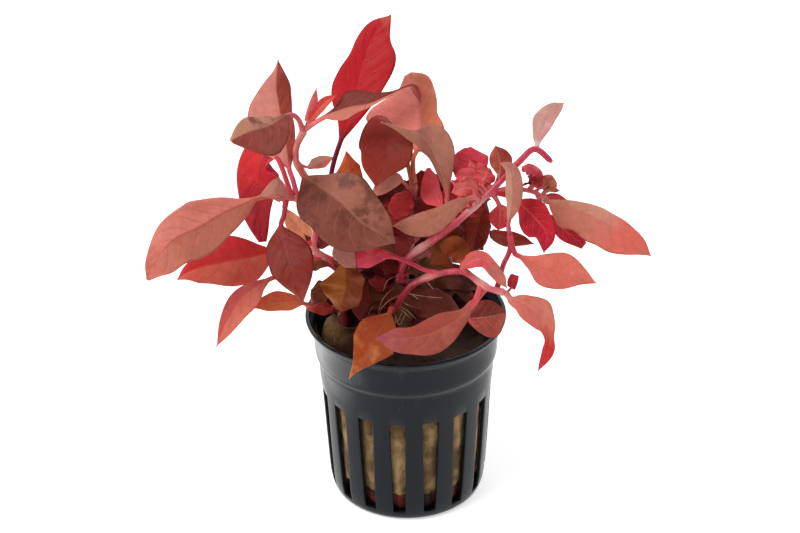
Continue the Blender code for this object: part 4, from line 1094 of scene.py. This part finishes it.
# Leaves of the right branch
# The long salmon leaf that reaches furthest right, a bright crimson one and small crinkled young
# leaves.
right_branch_leaves = {
    "crimson_blade": dict(
        slot="crimson_leaf", foot=0.17, node="crimson_leaf", stalk_points=1,
        line=[(509, 196, -3), (516, 201, -4.5), (531, 214, -7.5), (546, 233, -10), (544, 253, -12)],
        reach=[(0.5, 0.5), (3, 2), (4, 4), (3.5, 4.5), (2.5, 3.5), (1.5, 2), (0, 0)],
        left=(190, 28, 42), right=(186, 24, 44), patch=(166, 18, 34), tip=(192, 22, 56), tip_start=0.6,
        vein=(216, 96, 92), vein_share=0.5, under=(160, 24, 36), stalk=(170, 30, 44)),
    "inner_right_blade": dict(
        slot="pink_leaf", foot=0.12, node="inner_right_leaf", petiole=0.2,
        line=[(499, 205, -3.5), (500, 217, -4), (498, 230, -5)],
        reach=lance(5.5),
        left=(190, 50, 56), patch=(210, 92, 86), under=(176, 46, 52)),
    "long_right_blade": dict(
        slot="salmon_leaf", foot=1.0, node="long_right_leaf", wave=0.25,
        line=[(549, 202, 3.5), (581, 210, 0), (612, 225, -5), (639, 245, -10), (651, 256, -12)],
        reach=[(0.7, 1), (1.5, 5.5), (2, 5.5), (2.5, 6.5), (2.5, 6.5), (2.5, 6), (2, 3.5), (0, 0)],
        left=(200, 134, 112), right=(196, 112, 90), patch=(184, 106, 86), patch_share=0.6,
        tip=(212, 96, 82), tip_start=0.42, vein=(206, 126, 106), vein_share=0.25, under=(196, 92, 80),
        stalk=(186, 110, 92)),
    "small_crimson_blade": dict(
        slot="crimson_leaf", foot=0.86, node="small_red_leaf",
        line=[(545, 214, 6), (554, 222, 6.5), (573, 237, 6), (584, 246, 5)],
        reach=[(0.5, 0.5), (1.5, 1.5), (2.5, 2.5), (2.5, 2), (1, 1)],
        left=(176, 24, 42), patch=(164, 20, 34), under=(156, 22, 32), tip=(214, 170, 160), tip_start=0.93),
    "crinkled_pink_blade": dict(
        slot="pink_leaf", foot=0.79, node="crinkled_leaf", wave=0.6, waves=3.2,
        line=[(539, 188, 5), (536, 178, 6), (530, 170, 6), (522, 170, 4)],
        reach=[(1, 1), (1.5, 2), (1.5, 1.5), (0.7, 0.7)],
        left=(214, 80, 96), patch=(190, 50, 60), under=(176, 30, 34)),
    "crinkled_brown_blade": dict(
        slot="olive_leaf", foot=0.94, node="crinkled_brown_leaf", petiole=0.05, wave=0.6, waves=3.0,
        line=[(547, 186, 7), (541, 176, 8)],
        reach=lance(5.0),
        left=(186, 108, 82), patch=(120, 52, 24), patch_share=0.9, under=(120, 44, 26)),
    "shaded_crimson_blade": dict(
        slot="crimson_leaf", foot=0.70, petiole=0.0, wave=0.5,
        line=[(533, 184, 3.5), (530, 177, 4)],
        reach=[(1.5, 1.5), (2.5, 2.5), (2.5, 3), (1, 1.5), (0, 0)],
        left=(160, 26, 30), patch=(134, 34, 24), under=(140, 24, 26)),
    "thin_high_blade": dict(
        slot="crimson_leaf", foot=1.0, node="thin_leaf_high", petiole=0.0, wave=0.1,
        line=[(548, 190, 6), (560, 190.8, 8.5)],
        reach=[(0.5, 0.5), (0.9, 0.6), (0.7, 0.6), (0, 0)],
        left=(176, 28, 46), under=(160, 26, 38)),
    "thin_low_blade": dict(
        slot="crimson_leaf", foot=1.0, node="thin_leaf_low", petiole=0.0, wave=0.1,
        line=[(549, 197, 6.5), (558, 198, 8), (568, 201, 9)],
        reach=[(0.5, 0.5), (1, 0.9), (0.9, 0.6), (0, 0)],
        left=(192, 44, 54), under=(166, 30, 40)),
}
grow(right_branch, right_branch_leaves)


# Leaves of the front stem and its branch
# They arch over the rim: an orange leaf with pale old patches, a long pink one along the rim, and
# one bent over so that its red underside shows.
front_leaves = {
    "olive_blade": dict(
        slot="olive_leaf", foot=0.815, node="olive_leaf",
        line=[(462, 262, -10), (457, 250, -5), (449, 250, -2), (439, 257, 0), (429, 265, 1)],
        reach=[(1, 1), (2.5, 3), (4, 3), (3, 2.5), (0, 0)],
        left=(158, 70, 30), right=(148, 74, 32), patch=(134, 52, 24), patch_share=0.6, vein=(160, 84, 52),
        vein_share=0.25, under=(112, 48, 30), stalk=(206, 90, 88)),
    "low_pink_blade": dict(
        slot="pink_leaf", foot=0.72, node="low_pink_leaf", stalk_points=2,
        line=[(425, 270, -12), (410, 263, -11), (398, 258, -10), (386, 255, -9), (375, 256, -8.5),
              (355, 260, -10)],
        reach=[(0.5, 0.5), (1, 1), (2, 2), (2.5, 2.5), (2, 1.5)],
        left=(226, 72, 94), right=(204, 48, 68), patch=(228, 86, 102), under=(190, 56, 70),
        stalk=(206, 62, 84)),
    "rim_orange_blade": dict(
        slot="orange_leaf", foot=0.365, node="rim_orange_leaf", stalk_points=1, wave=0.4, ragged=0.08,
        line=[(391, 308, -9), (389, 314, -13), (383, 326, -17), (368, 349, -23.5), (353, 371, -26.5),
              (349, 379, -27)],
        reach=[(0.5, 0.5), (3, 3.5), (4.5, 5), (5.5, 5), (3.5, 3), (1.5, 1), (0, 0)],
        left=(154, 68, 26), right=(158, 62, 23), patch=(190, 118, 68), patch_share=0.7, vein=(176, 90, 48),
        vein_share=0.3, under=(170, 70, 40), stalk=(196, 84, 54)),
    "long_front_blade": dict(
        slot="salmon_leaf", foot=0.90, node="long_front_leaf", stalk_points=1, face=(0.0, -0.8, 0.6),
        line=[(475, 300, -19), (470, 304, -21), (461, 317, -24), (430, 334, -27), (394, 339, -27.5),
              (376, 338, -27.3)],
        reach=[(0.5, 0.5), (2, 2), (4, 3.5), (5, 3.5), (4, 2.5), (3, 2.5), (0, 0)],
        left=(156, 72, 60), right=(160, 68, 58), patch=(170, 88, 73), patch_share=0.6, tip=(160, 70, 80),
        tip_start=0.7, vein=(200, 110, 94), vein_share=0.25, under=(180, 80, 70), stalk=(216, 84, 96)),
    "rim_pink_blade": dict(
        slot="salmon_leaf", foot=0.92, node="rim_pink_leaf", stalk_points=2, fold=12.0,
        line=[(475, 303, -16.5), (468, 312, -16.5), (469, 318, -16), (487, 317, -16), (505, 313, -16)],
        reach=[(1, 1), (3.5, 3.5), (4.2, 5), (3.5, 4.5), (1, 1)],
        left=(122, 50, 40), right=(166, 72, 60), patch=(140, 58, 48), patch_share=0.5, vein=(206, 136, 120),
        vein_share=0.5, under=(176, 80, 72), stalk=(200, 80, 86)),
    "bent_right_blade": dict(
        slot="salmon_leaf", foot=1.0, node="bent_right_leaf", petiole=0.0, wave=0.2,
        line=[(512, 300, -20.5), (524, 305, -22), (545, 322, -25), (549, 336, -26.5), (548, 351, -27.5),
              (538, 371, -29)],
        reach=[(0.5, 0.7), (2, 2), (3.5, 3), (4, 3), (2, 2.5), (1.2, 1.2), (1.5, 1.5), (1, 1), (0, 0)],
        left=(206, 116, 98), right=(206, 106, 92), patch=(196, 96, 82), patch_share=0.5, tip=(196, 44, 44),
        tip_start=0.42, vein=(190, 88, 76), under=(196, 44, 44), stalk=(226, 140, 130)),
    "twisted_blade": dict(
        slot="mauve_leaf", foot=0.83, node="twisted_leaf",
        line=[(462, 267, -15.5), (468, 264, -15.8), (478, 259, -16.2), (488, 263, -17), (507, 288, -21.5)],
        reach=[(0.6, 0.6), (2, 1.5), (2, 2), (1.5, 1.7), (1.6, 1.6), (1.3, 1.2), (0, 0)],
        left=(204, 86, 80), right=(206, 72, 80), tip=(172, 104, 86), tip_start=0.42, under=(180, 80, 70)),
    "small_dark_blade": dict(
        slot="dark_red_leaf", foot=1.0, node="small_dark_leaf", wave=0.1,
        line=[(511, 288, -17), (513, 281, -15.5), (515, 275, -14)],
        reach=[(1, 1), (1.3, 1.2), (1, 1)],
        left=(184, 24, 46), under=(150, 20, 34)),
}
grow(front, front_leaves)
front_branch_leaves = {
    "salmon_right_blade": dict(
        slot="salmon_leaf", foot=0.81, node="salmon_right_leaf", stalk_points=1,
        line=[(514, 252, -12.5), (521, 257, -13.5), (546, 269, -17.5), (572, 276, -21.5), (596, 283, -24)],
        reach=[(0.5, 0.5), (2, 2), (4, 4), (5, 4), (4.5, 3.5), (2.5, 1.5), (0, 0)],
        left=(210, 106, 88), right=(206, 98, 82), patch=(200, 90, 74), patch_share=0.5, vein=(180, 68, 60),
        vein_share=0.3, under=(196, 88, 78), stalk=(190, 60, 76)),
    "upright_right_blade": dict(
        slot="mauve_leaf", foot=1.0, node="upright_right_leaf", stalk_points=1, face=(-0.1, -0.9, 0.45),
        fold=12.0,
        line=[(508, 228, -11.3), (509, 221, -11), (512, 195, -9.5), (510, 171, -6), (500, 163, -4)],
        reach=[(0.5, 0.5), (1, 2), (1.5, 2.5), (1.5, 2.5), (1, 2), (0, 0)],
        left=(198, 140, 120), right=(172, 104, 88), patch=(184, 118, 100), patch_share=0.6,
        vein=(190, 130, 112), under=(170, 76, 68), stalk=(184, 44, 76)),
}
grow(front_branch, front_branch_leaves)


# Shaded leaves over the wool
# Brown, olive and dark red leaves that stand low in the crown or behind it. They hide the pot's back
# wall and most of the wool. Their dark colours, NIGHT above all, are partly painted shade of the crown.
# A row gives a leaf's stem, where it stands on it, its line, its width and its two colours.
BROWN, OLIVE, WINE = (112, 58, 40), (98, 62, 34), (128, 24, 32)
DUSKY, NIGHT, RUST = (138, 72, 58), (54, 24, 26), (124, 60, 40)
shaded_leaves = [
    (right, 0.30, [(412, 296, 2), (434, 288, 5), (455, 286, 7), (472, 292, 8)], 10.0, OLIVE, BROWN),
    (right, 0.34, [(425, 282, 5), (448, 277, 7), (468, 282, 8), (482, 290, 8)], 7.0, BROWN, NIGHT),
    (right, 0.27, [(420, 304, 5), (442, 308, 4), (462, 314, 2), (478, 320, 0)], 9.0, NIGHT, BROWN),
    (front, 0.36, [(406, 300, 0), (424, 303, 0), (444, 309, -1), (462, 316, -2)], 8.0, DUSKY, RUST),
    (front, 0.30, [(398, 308, -2), (404, 318, -3), (406, 328, -4)], 4.5, (62, 22, 44), NIGHT),
    (front, 0.34, [(390, 300, -3), (396, 290, -2), (398, 280, -1)], 4.0, BROWN, WINE),
    (left_tall, 0.34, [(360, 290, 2), (373, 294, 0), (386, 308, -4)], 8.0, RUST, BROWN),
    (left_tall, 0.38, [(362, 272, 6), (374, 266, 9), (390, 270, 11)], 9.0, WINE, NIGHT),
    (centre, 0.40, [(395, 290, 8), (384, 281, 8), (370, 268, 7)], 4.5, WINE, (150, 40, 52)),
    (centre, 0.46, [(400, 284, 8), (394, 270, 8), (386, 258, 8)], 4.0, (146, 34, 46), WINE),
    (centre, 0.36, [(392, 300, 6), (380, 300, 5), (366, 302, 4)], 7.0, NIGHT, WINE),
    (right, 0.33, [(390, 290, -1), (380, 284, -2), (369, 280, -3)], 3.6, (150, 40, 50), WINE),
    (right, 0.25, [(400, 318, 3), (416, 326, 2), (434, 332, 2)], 8.0, NIGHT, BROWN),
    (left_low, 0.30, [(344, 300, 2), (354, 312, 2), (366, 322, 2)], 8.0, NIGHT, RUST),
    (left_low, 0.27, [(341, 300, 4), (336, 306, 4), (330, 314, 3)], 6.0, BROWN, NIGHT),
    (left_tall, 0.31, [(350, 296, 8), (340, 290, 9), (331, 293, 9)], 7.0, NIGHT, WINE),
    (left_tall, 0.30, [(366, 306, 3), (378, 318, 2), (390, 328, 1)], 7.0, RUST, NIGHT),
    (front, 0.33, [(400, 306, -1), (414, 312, 0), (428, 322, 1)], 6.0, OLIVE, BROWN),
    (right, 0.31, [(440, 292, 6), (458, 300, 8), (480, 310, 10)], 9.0, (150, 70, 44), BROWN),
    (centre, 0.80, [(418, 205, 12), (424, 190, 14), (421, 170, 16)], 12.0, (112, 30, 22), NIGHT),
    (centre, 0.86, [(404, 208, 11), (394, 196, 13), (386, 178, 14)], 11.0, (130, 36, 28), NIGHT),
    (centre, 0.72, [(402, 232, 10), (394, 222, 9), (384, 206, 8)], 9.0, (150, 38, 36), WINE),
    (centre, 0.66, [(412, 245, 10), (420, 232, 12), (432, 222, 14)], 11.0, (104, 34, 26), NIGHT),
    (centre, 0.90, [(410, 196, 5), (401, 206, 3), (394, 220, 1)], 6.0, (186, 50, 50), WINE),
    (right, 0.52, [(436, 226, 2), (431, 208, 6), (438, 190, 9)], 9.0, (140, 40, 34), (104, 30, 26)),
    (right, 0.62, [(462, 224, 1), (470, 238, 4), (482, 250, 6)], 9.0, (104, 34, 26), (84, 26, 20)),
    (right, 0.46, [(446, 240, 2), (458, 248, 5), (474, 256, 7)], 8.0, (140, 72, 40), BROWN),
    (right, 0.66, [(466, 208, 2), (458, 196, 5), (452, 180, 7)], 10.0, (190, 56, 68), (160, 36, 46)),
]
for number, (stem, share, line, width, body_tone, patch_tone) in enumerate(shaded_leaves):
    make_leaf("shaded_leaf_%02d" % number, stem, "dark_red_leaf", share, line, lance(width),
              left=body_tone, patch=patch_tone, under=body_tone, vein=patch_tone, vein_share=0.5,
              stalk=(160, 44, 60), petiole=0.1, wave=0.6, waves=2.6, ragged=0.15)


# Old inner leaves
# Small dark red and brown leaves low on the stems, in the shade of the crown, which fill the space
# between it and the wool.
INNER_LEAVES = 30
SHADE_COLOURS = [((112, 34, 30), (128, 46, 34)), ((120, 62, 36), (100, 50, 30)),
                 ((134, 40, 40), (150, 56, 50)), ((104, 72, 38), (120, 56, 34)),
                 ((150, 54, 56), (120, 36, 38))]
draw = random.Random(5)
shaded_stems = [(left_tall, 0.30, 0.55), (left_low, 0.28, 0.5), (centre, 0.35, 0.8), (right, 0.22, 0.42),
                (front, 0.22, 0.42)]
for number in range(INNER_LEAVES):
    stem, low, high = shaded_stems[number % len(shaded_stems)]
    share = draw.uniform(low, high)
    place = stem["route"][round(share * STEM_STEPS)]
    heading = draw.uniform(0.0, math.tau)
    length = draw.uniform(8.0, 14.0)
    outward_way = Vector((math.cos(heading), math.sin(heading), 0.0))
    middle_place = place + outward_way * length * 0.5 + Vector((0.0, 0.0, draw.uniform(0.5, 3.5)))
    stalk_place = place * 0.6 + middle_place * 0.4 + Vector((0.0, 0.0, 0.8))
    tip_place = place + outward_way * length + Vector((0.0, 0.0, draw.uniform(-5.0, 3.0)))
    body_tone, patch_tone = SHADE_COLOURS[number % len(SHADE_COLOURS)]
    make_leaf("inner_leaf_%02d" % number, stem, "dark_red_leaf", share,
              [stalk_place, middle_place, tip_place], lance(draw.uniform(4.5, 7.5)), left=body_tone,
              patch=patch_tone, under=body_tone, vein=patch_tone, stalk=(170, 50, 58),
              face=(draw.uniform(-0.4, 0.4), -0.5, 0.8), wave=0.6, waves=2.6, on_photo=False)
bpy.data.objects.remove(blank, do_unlink=True)


# Hair roots
# Fine pinkish white threads that grow from the stems just over the wool and wander down into it.
# Each is a thin round hair, a fraction of a millimetre thick. Those that the photograph shows come
# first, each from its stem.
ROOT_RADIUS = 0.1
ROOT_STEPS = 8
SHOWN_ROOT_STEPS = 12
STRAY_ROOTS = 28
hair, given, result = new_group(
    "root_hair",
    [("Pale", "colour", (0.7, 0.5, 0.4, 1.0)), ("Dark", "colour", (0.3, 0.1, 0.08, 1.0))],
    [("Colour", "colour")])
place = object_place(hair)
tone = blend(hair, ramp(hair, grain(hair, place, 260.0, 2.0), 0.42, 0.62), given.outputs["Pale"],
             given.outputs["Dark"])
hair.links.new(tone, result.inputs["Colour"])
root_skin = finish_from(hair, "root_hair_skin", {"Pale": tint(222, 176, 150), "Dark": tint(170, 104, 84)},
                        roughness=0.5)


def make_root(name, points, steps, taper):
    """One thread along the points, thinner by its taper at the end."""
    radii = [ROOT_RADIUS * (1.0 - taper * index / steps) for index in range(steps + 1)]
    root = make_tube(name, smooth_route(points, steps), radii, 1, root_skin)
    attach(root, "root")


draw = random.Random(11)
root_feet = [(-4.0, -2.5, 46.5), (-3.0, 2.0, 47.0), (-10.6, 5.0, 47.0), (-15.2, 0.4, 47.0),
             (-3.2, -3.4, 50.5), (-2.4, 1.2, 53.0), (0.3, -7.8, 60.0), (-1.0, -6.0, 57.0)]
shown_roots = [
    (centre, [(377, 274, 3), (370, 286, 2), (363, 298, 1)]),
    (centre, [(409, 267, 4), (408, 277, 2), (406, 286, 1)]),
    (left_low, [(338, 315, -8), (341, 311, -9), (344, 308, -10)]),
    (left_tall, [(363, 321, -4), (373, 306, -4)]),
    (left_tall, [(374, 321, -6), (383, 306, -5)]),
    (left_low, [(333, 326, 0), (344, 328, -1), (358, 328, -2)]),
    (front, [(428, 283, -12), (433, 289, -12)]), (front, [(411, 294, -8), (418, 299, -8)]),
    (front, [(396, 323, -8), (402, 313, -8)]), (front, [(399, 325, -8), (405, 315, -8)]),
    (front, [(404, 312, -6), (409, 317, -7)]), (front, [(409, 312, -6), (416, 319, -7)]),
    (right, [(385, 296, -5), (380, 306, -6), (378, 316, -6)]), (right, [(388, 280, -4), (383, 291, -5)]),
]
for number, (stem, line) in enumerate(shown_roots):
    shown = [seen(*spot) for spot in line]
    foot = min(stem["route"], key=lambda other: (other - shown[0]).length)
    make_root("shown_root_%02d" % number, [foot] + shown, SHOWN_ROOT_STEPS, 0.4)
for number in range(STRAY_ROOTS):
    foot = Vector(root_feet[number % len(root_feet)])
    heading = draw.uniform(0.0, math.tau)
    length = draw.uniform(3.5, 9.0)
    reach = Vector((math.cos(heading), math.sin(heading) - 0.3, draw.uniform(-0.9, 0.2))).normalized()
    bend = Vector((draw.uniform(-1, 1), draw.uniform(-1, 1), draw.uniform(-0.2, 0.8))) * length * 0.16
    make_root("root_hair_%02d" % number, [foot, foot + reach * length * 0.5 + bend, foot + reach * length],
              ROOT_STEPS, 0.6)


# Table, light and camera
# A white table, soft light from all round, and the camera where the photograph was taken. The table
# glows evenly, and brighter in a pool at its left that only glossy rays see: painted light for the pot's
# reflection.
bpy.ops.object.select_all(action="DESELECT")
bpy.ops.mesh.primitive_plane_add(size=6.0, location=(0.0, 0.0, 0.0))
table = bpy.context.object
table.name = "table_top"
white = bpy.data.materials.new("white_table")
white.use_nodes = True
paper = white.node_tree.nodes["Principled BSDF"]
paper.inputs["Base Color"].default_value = (0.92, 0.92, 0.92, 1.0)
paper.inputs["Roughness"].default_value = 0.7
paper.inputs["Specular IOR Level"].default_value = 0.1
paper.inputs["Emission Color"].default_value = (1.0, 1.0, 1.0, 1.0)
spot = white.node_tree.nodes.new("ShaderNodeTexCoord").outputs["Object"]
sides = white.node_tree.nodes.new("ShaderNodeSeparateXYZ")
white.node_tree.links.new(spot, sides.inputs["Vector"])
path = white.node_tree.nodes.new("ShaderNodeLightPath")
# Painted reflection: left of x = -52 mm the table glows up to 2.4 brighter, for glossy rays only, so the pot
# reflects a pool of light there that nothing else sees.
painted_light_pool = times(white.node_tree, path.outputs["Is Glossy Ray"],
             ramp(white.node_tree, sides.outputs["X"], -0.052, -0.062, 0.0, 2.4))
glow = plus(white.node_tree, painted_light_pool, 0.5)
white.node_tree.links.new(glow, paper.inputs["Emission Strength"])
table.data.materials.append(white)


def soft_light(name, place, aim, size, energy):
    bpy.ops.object.light_add(type="AREA", location=place)
    lamp = bpy.context.object
    lamp.name = name
    lamp.data.shape = "RECTANGLE"
    lamp.data.size, lamp.data.size_y = size
    lamp.data.energy = energy
    lamp.rotation_euler = (Vector(aim) - Vector(place)).to_track_quat("-Z", "Y").to_euler()


soft_light("over_left", (-0.45, -0.25, 0.75), (0.0, 0.0, 0.06), (0.45, 0.45), 5.2)
soft_light("over_right", (0.5, 0.1, 0.6), (0.0, 0.0, 0.06), (0.4, 0.5), 1.6)
soft_light("behind", (0.1, 0.7, 0.5), (0.0, 0.0, 0.08), (0.8, 0.5), 1.8)
world = bpy.data.worlds.new("light_tent")
bpy.context.scene.world = world
world.use_nodes = True
world.node_tree.nodes["Background"].inputs["Color"].default_value = (1.0, 1.0, 1.0, 1.0)
world.node_tree.nodes["Background"].inputs["Strength"].default_value = 0.3
bpy.context.scene.view_settings.view_transform = "Standard"

SENSOR_WIDTH = 36.0
bpy.ops.object.camera_add(location=view_point * MM)
camera = bpy.context.object
camera.name = "camera"
camera.rotation_euler = Matrix((view_right, view_up, -forward)).transposed().to_euler()
camera.data.sensor_width = SENSOR_WIDTH
camera.data.lens = VIEW_FOCAL * SENSOR_WIDTH / PHOTO_WIDTH
bpy.context.scene.camera = camera
